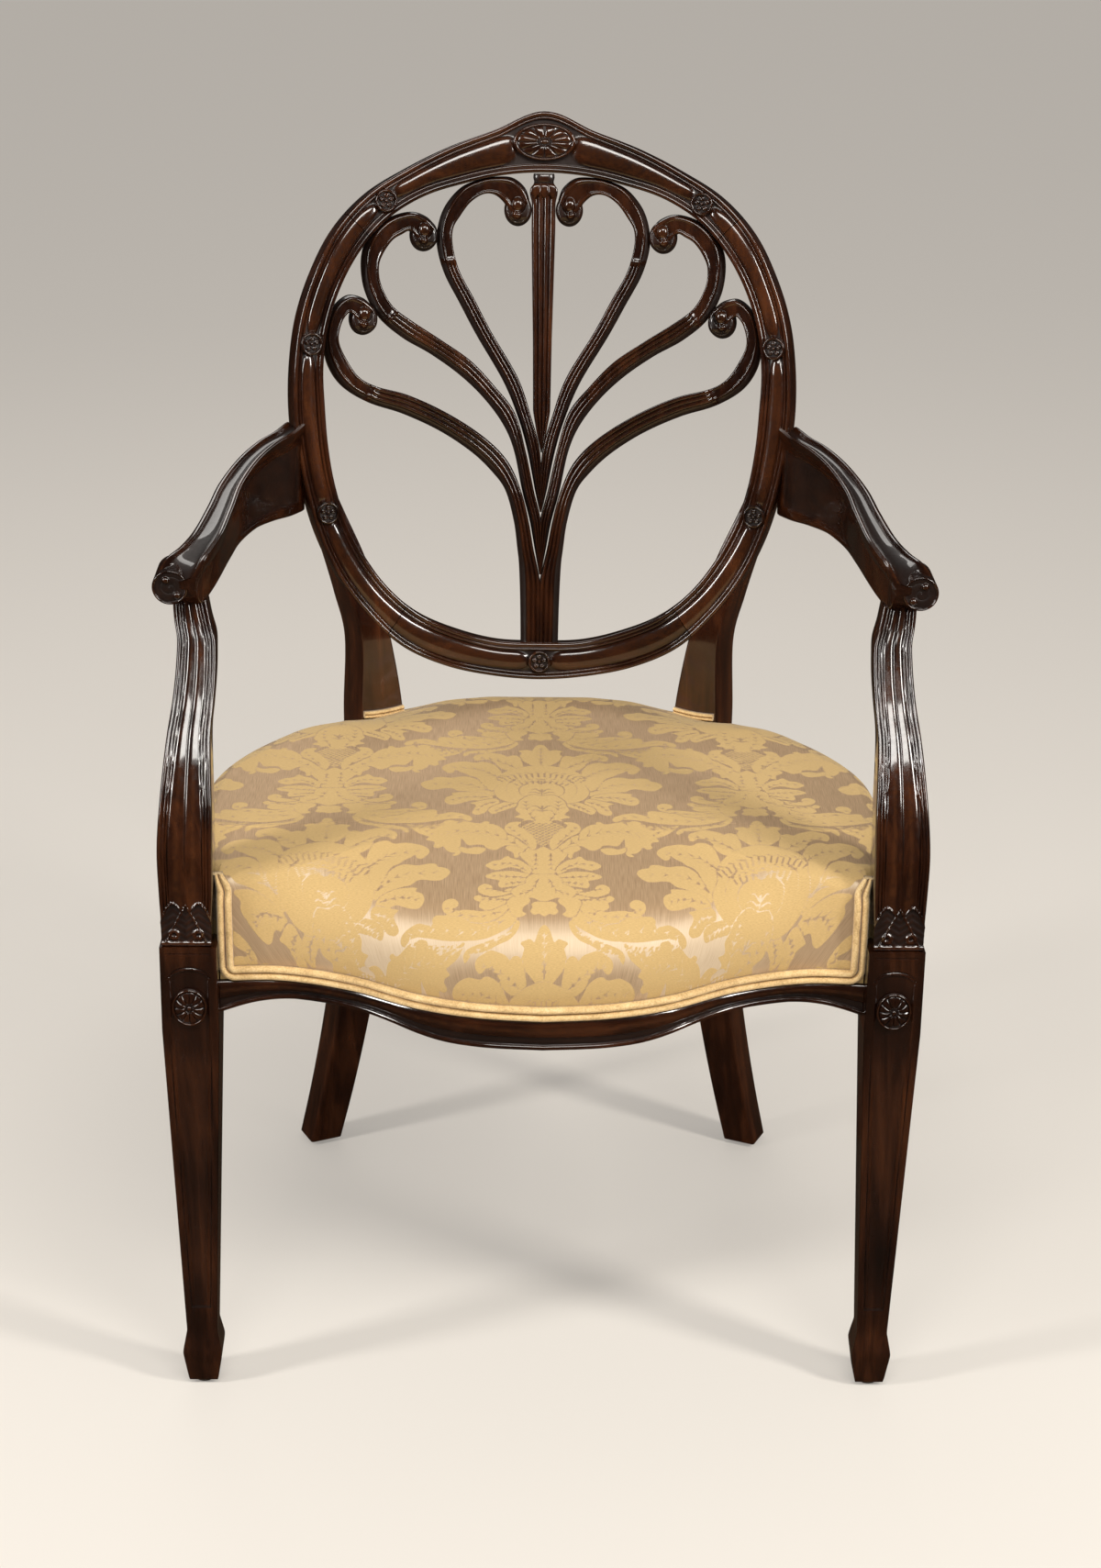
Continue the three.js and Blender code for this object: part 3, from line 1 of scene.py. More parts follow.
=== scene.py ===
# %% [markdown]
# # A carved mahogany armchair with a pierced oval back
# The chair's solids come from CAD as a fixed frame. This lesson dresses them: each carved member is
# worked out again as a dense surface with its mouldings, and gets a polished wood finish, and the
# seat gets its stuffed shape and its woven damask. Shapes are numpy arrays in the millimetres of
# the CAD drawing, and become meshes in metres at the very end of each piece.

import math

import bpy
import numpy as np
from mathutils import Matrix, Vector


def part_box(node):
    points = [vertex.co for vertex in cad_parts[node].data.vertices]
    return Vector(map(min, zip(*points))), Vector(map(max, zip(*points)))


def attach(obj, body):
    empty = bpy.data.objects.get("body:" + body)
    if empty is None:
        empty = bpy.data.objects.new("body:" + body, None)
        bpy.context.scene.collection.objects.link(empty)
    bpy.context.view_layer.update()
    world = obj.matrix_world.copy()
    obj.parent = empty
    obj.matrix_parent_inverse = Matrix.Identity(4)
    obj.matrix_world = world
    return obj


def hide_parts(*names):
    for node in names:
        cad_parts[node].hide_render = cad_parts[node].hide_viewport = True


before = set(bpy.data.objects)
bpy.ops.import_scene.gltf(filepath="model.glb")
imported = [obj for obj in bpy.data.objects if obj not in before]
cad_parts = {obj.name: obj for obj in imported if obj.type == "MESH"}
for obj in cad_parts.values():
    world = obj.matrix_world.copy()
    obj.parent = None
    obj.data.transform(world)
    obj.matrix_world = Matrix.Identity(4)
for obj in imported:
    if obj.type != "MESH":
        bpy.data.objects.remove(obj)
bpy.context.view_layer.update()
leg_low, leg_high = (np.array(corner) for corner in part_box("front_leg_right"))
MM = 0.001
# the middle of a front leg in the drawing, whose Y starts at the seat's front corners
LEG_X, LEG_Y = 278.6, 10.0
SHIFT = np.array([0, (leg_low[1] + leg_high[1]) / 2 - LEG_Y * MM, 0])
print("nodes in the frame:", len(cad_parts), "shift of the drawing:", SHIFT.round(4))

# %% [markdown]
# ## Camera, floor and light
# The picture looks down on the chair from about standing height, with a long lens. The camera is
# put where the chair's measured corners fall on the same places of the picture. A large plain floor
# and a few soft boxes do the rest. Polished wood shows mostly what it mirrors, so the boxes draw the
# long bright lines along the mouldings, and whatever mirrors the floor or the sky finds them dim.

# %% Camera
PITCH, ROLL, YAW = (math.radians(angle) for angle in (21.46, 0.836, 1.101))
CAMERA_AT = np.array([0.004, -2.125, 1.376])
SENSOR, FOCAL_PIXELS, PICTURE_HEIGHT = 36, 3223, 1709


def placed(axes, at):
    """The matrix that turns a thing to three axes and puts it at a point."""
    return Matrix([[axes[0][i], axes[1][i], axes[2][i], at[i]] for i in range(3)] + [[0, 0, 0, 1]])


down = np.array([0, -math.sin(PITCH), -math.cos(PITCH)])
ahead = np.array([0, math.cos(PITCH), -math.sin(PITCH)])
aside = np.array([1.0, 0, 0])
image_right = math.cos(ROLL) * aside - math.sin(ROLL) * down
image_down = math.sin(ROLL) * aside + math.cos(ROLL) * down
turn_back = np.array([[math.cos(YAW), math.sin(YAW), 0], [-math.sin(YAW), math.cos(YAW), 0], [0, 0, 1]])
place = turn_back @ CAMERA_AT + SHIFT
camera_data = bpy.data.cameras.new("camera")
camera_data.lens = SENSOR * FOCAL_PIXELS / PICTURE_HEIGHT
camera = bpy.data.objects.new("camera", camera_data)
camera.matrix_world = placed([turn_back @ axis for axis in (image_right, -image_down, -ahead)], place)
bpy.context.scene.collection.objects.link(camera)
bpy.context.scene.camera = camera
print("camera at", place.round(3), "lens", round(camera_data.lens, 1))

# %% Node helpers
def fill(tree, node, inputs):
    """Gives a node its inputs, by name or number: a socket is linked, anything else is set as the value."""
    for key, value in inputs.items():
        if isinstance(value, bpy.types.NodeSocket):
            tree.links.new(value, node.inputs[key])
        else:
            node.inputs[key].default_value = value


def add(tree, kind, inputs=None, **settings):
    """A new shader node with its settings and its inputs."""
    made = tree.nodes.new(kind)
    for key, value in settings.items():
        setattr(made, key, value)
    fill(tree, made, inputs or {})
    return made


def mix(tree, factor, first, second):
    """One colour at factor 0, another at factor 1."""
    made = add(tree, "ShaderNodeMix", {"Factor": factor, "A": first, "B": second}, data_type="RGBA")
    return made.outputs["Result"]


def plain_material(name):
    """A new material with only a Principled shader in it, its node tree and that shader."""
    made = bpy.data.materials.new(name)
    made.use_nodes = True
    return made, made.node_tree, made.node_tree.nodes["Principled BSDF"]


# %% Floor
FLOOR_HALF = 20
PALE_FLOOR, DIM_ROOM = (0.50, 0.47, 0.43, 1), (0.035, 0.022, 0.013, 1)
floor_mesh = bpy.data.meshes.new("floor")
corners = [(x * FLOOR_HALF, y * FLOOR_HALF, 0) for x, y in ((-1, -1), (1, -1), (1, 1), (-1, 1))]
floor_mesh.from_pydata(corners, [], [(0, 1, 2, 3)])
floor = bpy.data.objects.new("floor", floor_mesh)
bpy.context.scene.collection.objects.link(floor)
floor_paint, tree, shader = plain_material("floor_paint")
# polish and satin mirror a dim brown room, although the floor that is seen is pale
mirrored = add(tree, "ShaderNodeLightPath").outputs["Is Glossy Ray"]
glow = add(tree, "ShaderNodeMapRange", {"Value": mirrored, "To Min": 0.26, "To Max": 0.0}).outputs["Result"]
fill(tree, shader, {
    "Base Color": mix(tree, mirrored, PALE_FLOOR, DIM_ROOM), "Roughness": 0.9, "Specular IOR Level": 0.1,
    "Emission Color": (1, 0.94, 0.87, 1), "Emission Strength": glow})
floor_mesh.materials.append(floor_paint)
print("floor", 2 * FLOOR_HALF, "m wide")

# %% Soft boxes
def soft_box(name, at, aim_height, width, height, power, tint):
    """A rectangular lamp at a point, turned so that it faces a height on the chair's middle line."""
    data = bpy.data.lights.new(name, "AREA")
    data.shape = "RECTANGLE"
    data.size, data.size_y, data.energy, data.color = width, height, power, tint
    lamp = bpy.data.objects.new(name, data)
    back = np.array(at, float) - (0, 0, aim_height)
    back /= np.linalg.norm(back)
    across = np.cross((0, 0, 1), back)
    across /= np.linalg.norm(across)
    lamp.matrix_world = placed([across, np.cross(back, across), back], at)
    bpy.context.scene.collection.objects.link(lamp)
    print(f"{name}: {width} by {height} m, {power} W")


WARM = (1, 0.97, 0.92)
soft_box("window_right", (1.9, -1.3, 1.9), 0.55, 0.32, 1.2, 44, WARM)
soft_box("window_left", (-2.0, -1.0, 1.6), 0.5, 0.28, 1.2, 32, (1, 0.98, 0.95))
soft_box("high_front", (0.15, -1.8, 2.75), 0.45, 1.9, 0.6, 45, WARM)
soft_box("behind", (-0.4, 2.4, 2.2), 0.6, 1.6, 0.6, 8, (1, 0.97, 0.93))
sky = bpy.data.worlds.new("studio")
sky.use_nodes = True
# the polish mirrors a dim room here too, while the room's soft light still fills the shadows
tree = sky.node_tree
mirrored = add(tree, "ShaderNodeLightPath").outputs["Is Glossy Ray"]
strength = add(tree, "ShaderNodeMapRange", {"Value": mirrored, "To Min": 0.38, "To Max": 0.02})
fill(tree, tree.nodes["Background"], {"Color": (1, 0.97, 0.93, 1), "Strength": strength.outputs["Result"]})
bpy.context.scene.world = sky
bpy.context.scene.view_settings.view_transform = "Standard"

# %% [markdown]
# ## Polished mahogany
# Old mahogany under French polish is nearly black in the shade, red-brown where light falls through
# the polish, and orange along worn edges. One node group gives the grain: broad bands and a finer
# fleck stretched along the board, short dark pores, and darker, duller colour in the hollows of the
# carving, which is old wax and painted shade together. The shape tells the group where the hollows
# are, by an attribute. Each material turns the pattern so that it runs along its own timber, and adds
# a thin coat of polish.

# %% Grain group
def new_group(name, inputs, outputs):
    """A shader node group with named sockets: (name, kind, value) for inputs, (name, kind) for outputs."""
    group = bpy.data.node_groups.new(name, "ShaderNodeTree")
    for label, kind, value in inputs:
        group.interface.new_socket(name=label, in_out="INPUT", socket_type=kind).default_value = value
    for label, kind in outputs:
        group.interface.new_socket(name=label, in_out="OUTPUT", socket_type=kind)
    return group, group.nodes.new("NodeGroupInput"), group.nodes.new("NodeGroupOutput")


def ramp(tree, factor, stops, smooth="LINEAR"):
    """A colour ramp with (place, colour) stops."""
    made = add(tree, "ShaderNodeValToRGB", {"Fac": factor})
    made.color_ramp.interpolation = smooth
    elements = made.color_ramp.elements
    while len(elements) < len(stops):
        elements.new(0.5)
    for element, (where, colour) in zip(elements, stops):
        element.position = where
        element.color = (*colour, 1)
    return made.outputs["Color"]


def maths(tree, operation, *values):
    """One Math node; values are numbers or sockets."""
    return add(tree, "ShaderNodeMath", dict(enumerate(values)), operation=operation).outputs[0]


def blend(tree, first, first_share, second, second_share):
    """The sum of two patterns, each times its share."""
    return maths(tree, "ADD", maths(tree, "MULTIPLY", first, first_share),
                 maths(tree, "MULTIPLY", second, second_share))


def remap(tree, value, low, high, to_low=0.0, to_high=1.0):
    """A value between two limits, spread smoothly between two others."""
    limits = {"Value": value, "From Min": low, "From Max": high, "To Min": to_low, "To Max": to_high}
    return add(tree, "ShaderNodeMapRange", limits, interpolation_type="SMOOTHSTEP").outputs["Result"]


def noise(tree, where, scale, detail, **more):
    """Soft random clouds, that many to the metre."""
    inputs = {"Vector": where, "Scale": scale, "Detail": detail, **more}
    return add(tree, "ShaderNodeTexNoise", inputs).outputs["Fac"]


def stretched(tree, where, factors):
    """A place multiplied along X, Y and Z; a small factor draws a pattern out that way."""
    return add(tree, "ShaderNodeVectorMath", {0: where, 1: factors}, operation="MULTIPLY").outputs[0]


def object_place(tree):
    """Where a point lies in the object's own coordinates, in metres."""
    return add(tree, "ShaderNodeTexCoord").outputs["Object"]


def attribute(tree, name):
    """A value that the shape gives to each of its points."""
    return add(tree, "ShaderNodeAttribute", attribute_name=name).outputs["Fac"]


def bumped(tree, height, strength, distance):
    """The normal of a surface raised by a height pattern, by so many metres at most."""
    made = add(tree, "ShaderNodeBump", {"Height": height, "Strength": strength, "Distance": distance})
    return made.outputs[0]


grain, given, out = new_group(
    "mahogany_grain",
    [("Along the board", "NodeSocketVector", (0, 0, 0)), ("Hollow", "NodeSocketFloat", 0.0),
     ("Redness", "NodeSocketFloat", 0.5), ("Wax and shade", "NodeSocketFloat", 1.0)],
    [("Colour", "NodeSocketColor"), ("Roughness", "NodeSocketFloat"), ("Height", "NodeSocketFloat")])
run, hollow = given.outputs["Along the board"], given.outputs["Hollow"]
bands = noise(grain, stretched(grain, run, (1, 1, 0.07)), 70, 5, Roughness=0.6, Distortion=0.6)
fleck = noise(grain, stretched(grain, run, (1, 1, 0.04)), 900, 2)
dust = noise(grain, run, 240, 3)
pores = remap(grain, fleck, 0.60, 0.72)
tone = blend(grain, bands, 0.62, noise(grain, run, 11, 3), 0.5)
dark_tone = ramp(grain, tone, [(0.36, (0.002, 0.0007, 0.0004)), (0.53, (0.008, 0.0024, 0.0010)),
                               (0.68, (0.025, 0.0073, 0.0025)), (0.86, (0.065, 0.021, 0.0064))])
red_tone = ramp(grain, tone, [(0.36, (0.008, 0.0022, 0.0010)), (0.55, (0.036, 0.0096, 0.0034)),
                              (0.72, (0.092, 0.0268, 0.0084)), (0.88, (0.160, 0.054, 0.0163))])
PORE, WAX_AND_SHADE, WORN = (0.008, 0.003, 0.002, 1), (0.010, 0.0045, 0.003, 1), (0.16, 0.056, 0.018, 1)
wood = mix(grain, given.outputs["Redness"], dark_tone, red_tone)
wood = mix(grain, maths(grain, "MULTIPLY", pores, 0.55), wood, PORE)
# the hollows are painted darker and duller: old wax, and painted shade in the recesses of the carving
deep = maths(grain, "MULTIPLY", remap(grain, hollow, 0.35, 1.0), given.outputs["Wax and shade"])
wood = mix(grain, maths(grain, "MULTIPLY", deep, 0.82), wood, WAX_AND_SHADE)
edge = maths(grain, "ADD", hollow, maths(grain, "MULTIPLY", dust, 0.16))
wood = mix(grain, remap(grain, edge, 0.14, 0.02, 0.0, 0.16), wood, WORN)
rough = maths(grain, "ADD", remap(grain, dust, 0.3, 0.75, 0.13, 0.22), maths(grain, "MULTIPLY", deep, 0.30))
height = maths(grain, "SUBTRACT", maths(grain, "MULTIPLY", bands, 0.4), pores)
fill(grain, out, {"Colour": wood, "Roughness": rough, "Height": height})
print("grain group:", len(grain.nodes), "nodes")


# %% Mahogany materials
def mahogany(name, turn, redness):
    """Polished mahogany whose board runs along Z after the given turn (radians about X, Y, Z)."""
    made, tree, shader = plain_material(name)
    turned = add(tree, "ShaderNodeMapping", {"Vector": object_place(tree), "Rotation": turn}).outputs[0]
    wood = add(tree, "ShaderNodeGroup", node_tree=grain)
    fill(tree, wood, {"Along the board": turned, "Hollow": attribute(tree, "hollow"), "Redness": redness})
    fill(tree, shader, {
        "Base Color": wood.outputs["Colour"], "Roughness": wood.outputs["Roughness"],
        "Normal": bumped(tree, wood.outputs["Height"], 0.05, 0.0004), "Specular IOR Level": 0.5,
        "Coat Weight": 0.75, "Coat Roughness": 0.06, "Coat IOR": 1.5})
    return made


UPRIGHT = mahogany("mahogany_upright", (0.0, 0.05, 0.0), 0.28)
POST = mahogany("mahogany_post", (0.0, 0.05, 0.0), 0.62)
CROSSWISE = mahogany("mahogany_crosswise", (0.0, math.pi / 2, 0.0), 0.3)
LENGTHWISE = mahogany("mahogany_lengthwise", (math.pi / 2, 0.0, 0.0), 0.25)
print("mahogany materials:", [m.name for m in (UPRIGHT, POST, CROSSWISE, LENGTHWISE)])

# %% [markdown]
# ## Shapes from arrays
# Almost every piece here is a closed skin over a stack of rings: a profile carried along a path.
# The rings are one array of rows, columns and coordinates. Faces come from the numbering of the
# grid, a fan closes each end, and the sign of the enclosed volume says whether the skin faces out.

# %% Curves
def smoothstep(value, low, high):
    """0 below low, 1 above high, and a smooth S between."""
    share = np.clip((value - low) / (high - low), 0, 1)
    return share * share * (3 - 2 * share)


def through(values, place, ends="mirrored"):
    """The smooth cubic through evenly spaced values at a place counted in steps. Past its ends the row of
    values is mirrored, held or run straight on."""
    values = np.asarray(values, float)
    before, after = {"mirrored": (values[1], values[-2]), "held": (values[0], values[-1]),
                     "straight": (2 * values[0] - values[1], 2 * values[-1] - values[-2])}[ends]
    longer = np.concatenate([[before], values, [after]])
    place = np.clip(place, 0, len(values) - 1)
    i = np.minimum(np.asarray(place).astype(int), len(values) - 2)
    f = place - i
    f = f[..., None] if values.ndim > 1 else f
    a, b, c, d = (longer[i + k] for k in range(4))
    return b + 0.5 * f * (c - a + f * (2 * a - 5 * b + 4 * c - d + f * (3 * (b - c) + d - a)))


def spline(points, share):
    """A curve through points, at a share from 0 to 1; its end points are held."""
    return through(points, np.clip(share, 0, 1) * (len(points) - 1), "held")


def round_top(value, centre, half):
    """1 at the centre of a round moulding, falling as a half circle to 0 at its edges."""
    return np.sqrt(np.clip(1 - ((value - centre) / half) ** 2, 0, 1))


def ridge(value, centre, width):
    """1 at the centre of a fine line, falling as a bell to nearly 0 two widths away."""
    return np.exp(-((value - centre) / width) ** 2)


def and_then(columns, values):
    """Columns followed by the same further values in every row."""
    return np.concatenate([columns, np.broadcast_to(values, (len(columns), len(values)))], 1)


# %% Skins
END_HOLLOW = 0.2


def skin(rings, hollow=0.0):
    """A closed skin over rings (rows, columns, 3): points, quads, end fans and each point's hollow value."""
    rows, columns = rings.shape[:2]
    points = np.concatenate([rings.reshape(-1, 3), rings[:1].mean(1), rings[-1:].mean(1)])
    number = np.arange(rows * columns).reshape(rows, columns)
    beside = np.roll(number, -1, 1)
    quads = np.stack([number[:-1], beside[:-1], beside[1:], number[1:]], -1).reshape(-1, 4)
    start, end = np.full(columns, rows * columns), np.full(columns, rows * columns + 1)
    fans = np.concatenate([np.stack([beside[0], number[0], start], 1),
                           np.stack([number[-1], beside[-1], end], 1)])
    shade = np.r_[np.broadcast_to(hollow, (rows, columns)).ravel(), END_HOLLOW, END_HOLLOW]
    return facing_out(points, quads, fans, shade)


def facing_out(points, quads, fans, shade):
    """Turns every face of a closed skin if the volume inside comes out negative."""
    triangles = np.concatenate([quads[:, :3], quads[:, [0, 2, 3]], fans])
    a, b, c = (points[triangles[:, k]] for k in range(3))
    if np.einsum("ij,ij->i", a, np.cross(b, c)).sum() < 0:
        quads, fans = quads[:, ::-1], fans[:, ::-1]
    return points, quads, fans, shade


def other_side(skins):
    """The same skins mirrored to the left of the chair."""
    return [facing_out(points * (-1, 1, 1), quads, fans, shade) for points, quads, fans, shade in skins]


def make_piece(name, skins, material, nodes, slot="mahogany", sharp=50, attributes=None):
    """One mesh object in metres from skins in millimetres, that stands for the given CAD nodes."""
    start = np.cumsum([0] + [len(points) for points, *_ in skins])
    points = np.concatenate([points for points, *_ in skins]) * MM + SHIFT
    quads = np.concatenate([quads + at for (_, quads, _, _), at in zip(skins, start)])
    fans = np.concatenate([fans + at for (_, _, fans, _), at in zip(skins, start)])
    mesh = bpy.data.meshes.new(name)
    mesh.vertices.add(len(points))
    mesh.vertices.foreach_set("co", points.ravel())
    corners = np.concatenate([quads.ravel(), fans.ravel()])
    mesh.loops.add(len(corners))
    mesh.loops.foreach_set("vertex_index", corners.astype(np.int32))
    mesh.polygons.add(len(quads) + len(fans))
    starts = np.concatenate([4 * np.arange(len(quads)), 4 * len(quads) + 3 * np.arange(len(fans))])
    mesh.polygons.foreach_set("loop_start", starts.astype(np.int32))
    mesh.update(calc_edges=True)
    mesh.validate()
    shades = {"hollow": np.concatenate([shade for *_, shade in skins]), **(attributes or {})}
    for label, values in shades.items():
        layer = mesh.attributes.new(label, "FLOAT", "POINT")
        layer.data.foreach_set("value", np.asarray(values, np.float32))
    mesh.shade_smooth()
    mesh.set_sharp_from_angle(angle=math.radians(sharp))
    mesh.materials.append(material)
    piece = bpy.data.objects.new(name, mesh)
    bpy.context.scene.collection.objects.link(piece)
    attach(piece, "root")
    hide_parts(*nodes)
    print(f"{name}: {len(mesh.polygons)} faces")
    return piece


def make_pair(node, skins, material, worked="carved", **more):
    """The piece on the right of the chair and its mirror image on the left."""
    for hand, hand_skins in (("right", skins), ("left", other_side(skins))):
        make_piece(f"{node}_{hand}_{worked}", hand_skins, material, [f"{node}_{hand}"], **more)


# %% [markdown]
# ## The surface of the back
# The whole back is sawn from thick stock to one curved surface that leans back ten degrees and is
# dished across. Everything on it is drawn flat first, by how far it is across and along, and then
# bent onto that surface. A third number says how deep a point lies behind the front.

# %% Back surface
BACK_RADIUS, BACK_RAKE, BACK_Y, BACK_Z = 600.0, math.radians(10), 404.0, 483.0
OVAL_HALF, OVAL_HIGH, OVAL_CENTRE = 222.0, 503.0, 246.0
# radii of the frame's edges every ten degrees from the crest to the foot, in halves of the oval's width
OUTER = np.array([1.158, 1.101, 1.081, 1.075, 1.084, 1.077, 1.053, 1.032, 1.011, 1, 0.998, 1.008, 1.033,
                  1.062, 1.088, 1.116, 1.117, 1.109, 1.108])
INNER = np.array([0.921, 0.923, 0.930, 0.950, 0.959, 0.949, 0.932, 0.912, 0.890, 0.871, 0.872, 0.886, 0.907,
                  0.928, 0.952, 0.967, 0.965, 0.964, 0.956])


def back_point(across, along, depth):
    """A point of the back: an arc of the back's radius gives across, the rake turns along upwards."""
    angle = across / BACK_RADIUS
    out = (BACK_RADIUS + depth) * np.cos(angle) - BACK_RADIUS
    x = (BACK_RADIUS + depth) * np.sin(angle)
    y = BACK_Y + along * math.sin(BACK_RAKE) + out * math.cos(BACK_RAKE)
    z = BACK_Z + along * math.cos(BACK_RAKE) - out * math.sin(BACK_RAKE)
    return np.stack(np.broadcast_arrays(x, y, z), -1)


def oval_radii(turn):
    """Inner and outer radius of the oval frame at a turn from the crest."""
    place = np.minimum(np.abs(turn), 2 * math.pi - np.abs(turn)) * 18 / math.pi
    return OVAL_HALF * through(INNER, place), OVAL_HALF * through(OUTER, place)


def oval_middle(turn):
    """Across and along of the middle of the frame at a turn."""
    radius = np.mean(oval_radii(np.array(turn)), 0)
    return radius * np.sin(turn), OVAL_CENTRE + radius * np.cos(turn)


def on_back(points, across, along, depth):
    """Moves points that stand on z = 0 onto the back, facing forward."""
    angle = across / BACK_RADIUS
    up_back = np.array([0, math.sin(BACK_RAKE), math.cos(BACK_RAKE)])
    over = np.array([math.cos(angle), -math.sin(angle) * math.cos(BACK_RAKE),
                     math.sin(angle) * math.sin(BACK_RAKE)])
    return points @ np.array([over, up_back, np.cross(over, up_back)]) + back_point(across, along, depth)


crest_top = back_point(0, OVAL_CENTRE + OVAL_HALF * OUTER[0], 0)
print("crest of the frame at", (crest_top * MM + SHIFT).round(3))

# %% [markdown]
# ## The moulded oval frame
# A bead runs along the outer edge and another along the inner edge, each with a fine one beside it,
# and the broad round between them swells where the crest widens. The beads keep their width all the
# way, as a scratch stock cuts them, so the columns near each edge are laid out in millimetres and
# only the round's columns stretch. Near a rosette the round ends in a soft tongue.

# %% Frame mouldings
ROSETTE_TURNS = np.radians([37.8, 74.9, 115.8])
PATERA_WIDE = 55
# the two edges' bands of beads, and the thickness of the back
INNER_BAND, OUTER_BAND, BACK_THICK = 7.7, 6.9, 24


def tongue(turn):
    """How full the broad round is: 0 beside a rosette or the crest's patera, 1 a little way off."""
    across, along = oval_middle(turn)
    full = np.ones_like(across)
    for centre in [*ROSETTE_TURNS, *-ROSETTE_TURNS, math.pi, *(2 * math.pi - ROSETTE_TURNS)]:
        at = oval_middle(centre)
        near = np.clip((np.hypot(across - at[0], along - at[1]) - 9) / 17, 0, 1)
        full = np.minimum(full, np.sqrt(near * (2 - near)))
    near = np.clip((np.where(along > OVAL_CENTRE, np.abs(across), 999) - PATERA_WIDE / 2 + 3) / 20, 0, 1)
    return np.minimum(full, np.sqrt(near * (2 - near)))


def frame_depth(inner_gap, outer_gap, width, full):
    """Depth of the mouldings below the front: the shallowest of beads and round, over a sunk ground."""
    ground = 3.6 + 0.05 * (width - 30)
    depth = ground * np.ones_like(inner_gap)
    # each bead: the edge that it is measured from, its middle, its radius and the depth of its top
    for gap, centre, radius, top in [(outer_gap, 2.2, 2.2, 0.9), (outer_gap, 5.7, 1.2, 1.8),
                                     (inner_gap, 2.3, 2.3, 1.2), (inner_gap, 6.0, 1.4, 1.8)]:
        bead = top + radius * (1 - round_top(gap, centre, radius))
        depth = np.where(np.abs(gap - centre) < radius, np.minimum(depth, bead), depth)
    wide = width - INNER_BAND - OUTER_BAND
    swell = round_top(inner_gap, INNER_BAND + wide / 2, wide / 2 * (0.25 + 0.75 * full)) * ground * full
    return np.minimum(depth, ground - swell), ground


def frame_strip(from_turn, to_turn):
    """The skin of one length of the frame: moulded front, eased sides and a plain back."""
    turn = np.linspace(from_turn, to_turn, int(math.degrees(to_turn - from_turn) / 0.5) + 1)[:, None]
    inner, outer = oval_radii(turn)
    width = outer - inner
    swing = (1 - np.cos(np.linspace(0, math.pi, 26)))[None, 1:-1] / 2
    low, high = np.linspace(0, INNER_BAND, 25)[None], np.linspace(OUTER_BAND, 0, 23)[None]
    middle = INNER_BAND + swing * (width - INNER_BAND - OUTER_BAND)
    gap = np.concatenate([low + 0 * turn, middle, width - high], 1)
    depth, ground = frame_depth(gap, width - gap, width, tongue(turn))
    # how far in and how deep the columns lie that go down a side and round to the back
    inset, down_side = np.array([[0, 7], [0, 13], [0, 19], [0.6, 21.6], [2.0, 23.4], [4, BACK_THICK]]).T
    gap_all = and_then(np.concatenate([gap, width - inset], 1), inset[::-1])
    depth_all = and_then(depth, np.r_[down_side, down_side[::-1]])
    hollow = and_then(np.clip((depth - 1.0) / (ground - 0.6), 0, 1), [0.22] * 12)
    radius = inner + gap_all
    return skin(back_point(radius * np.sin(turn), OVAL_CENTRE + radius * np.cos(turn), depth_all), hollow)


# the turns at which the frame's rails meet the posts, less a glued joint of 0.3 mm
CREST_TURN, LOWER_TURN, JOINT = math.radians(46), math.radians(146), 0.3 / OVAL_HALF
crest = frame_strip(-CREST_TURN + JOINT, CREST_TURN - JOINT)
make_piece("crest_rail_carved", [crest], CROSSWISE, ["crest_rail"])
lower = frame_strip(LOWER_TURN + JOINT, 2 * math.pi - LOWER_TURN - JOINT)
make_piece("lower_back_rail_carved", [lower], CROSSWISE, ["lower_back_rail"])

# %% [markdown]
# ## Rear posts
# A rear leg, the joint at the seat and the stile of the back are one length of timber. The post is
# plain and square with eased corners. It splays out and back below the seat, stands turned towards
# the middle of the chair at the seat, and dies into the moulded frame above. Its stations are the
# CAD's own, and a smooth curve through them takes away the facets.

# %% Rear post
POST_X, POST_Y, POST_Z, POST_TURN = 151.0, 417.0, 450.0, math.radians(25)
POST_WIDE, POST_DEEP, POST_EASE = 41, 46, 2.4
# stations above the seat: along the oval's height, across in halves of its width, shares of the post's
# width and depth, and how much of its splay is left
POST_TABLE = [[0.072, 0.662, 0.68, 0.87, 1], [0.153, 0.712, 0.66, 0.78, 0.9], [0.227, 0.770, 0.66, 0.67, 0.7],
              [0.300, 0.842, 0.62, 0.56, 0.4], [0.378, 0.908, 0.46, 0.4, 0]]


def from_post(across, back):
    """A plan point, from how far it is across and behind the middle of the turned post."""
    c, s = math.cos(POST_TURN), math.sin(POST_TURN)
    return POST_X + across * c + back * s, POST_Y - across * s + back * c


def eased_box(width, depth, steps=5):
    """A rectangle from 0 to depth, centred across, its corners rounded: across and back columns."""
    arc = np.linspace(0, math.pi / 2, steps)
    side, end = np.sin(arc) * POST_EASE, (1 - np.cos(arc)) * POST_EASE
    half, deep = width[..., None] / 2 - POST_EASE, depth[..., None]
    across = np.concatenate([half + side, half + side[::-1], -half - side, -half - side[::-1]], -1)
    back = np.concatenate([end + 0 * deep, deep - end[::-1], deep - end, end[::-1] + 0 * deep], -1)
    return across, back


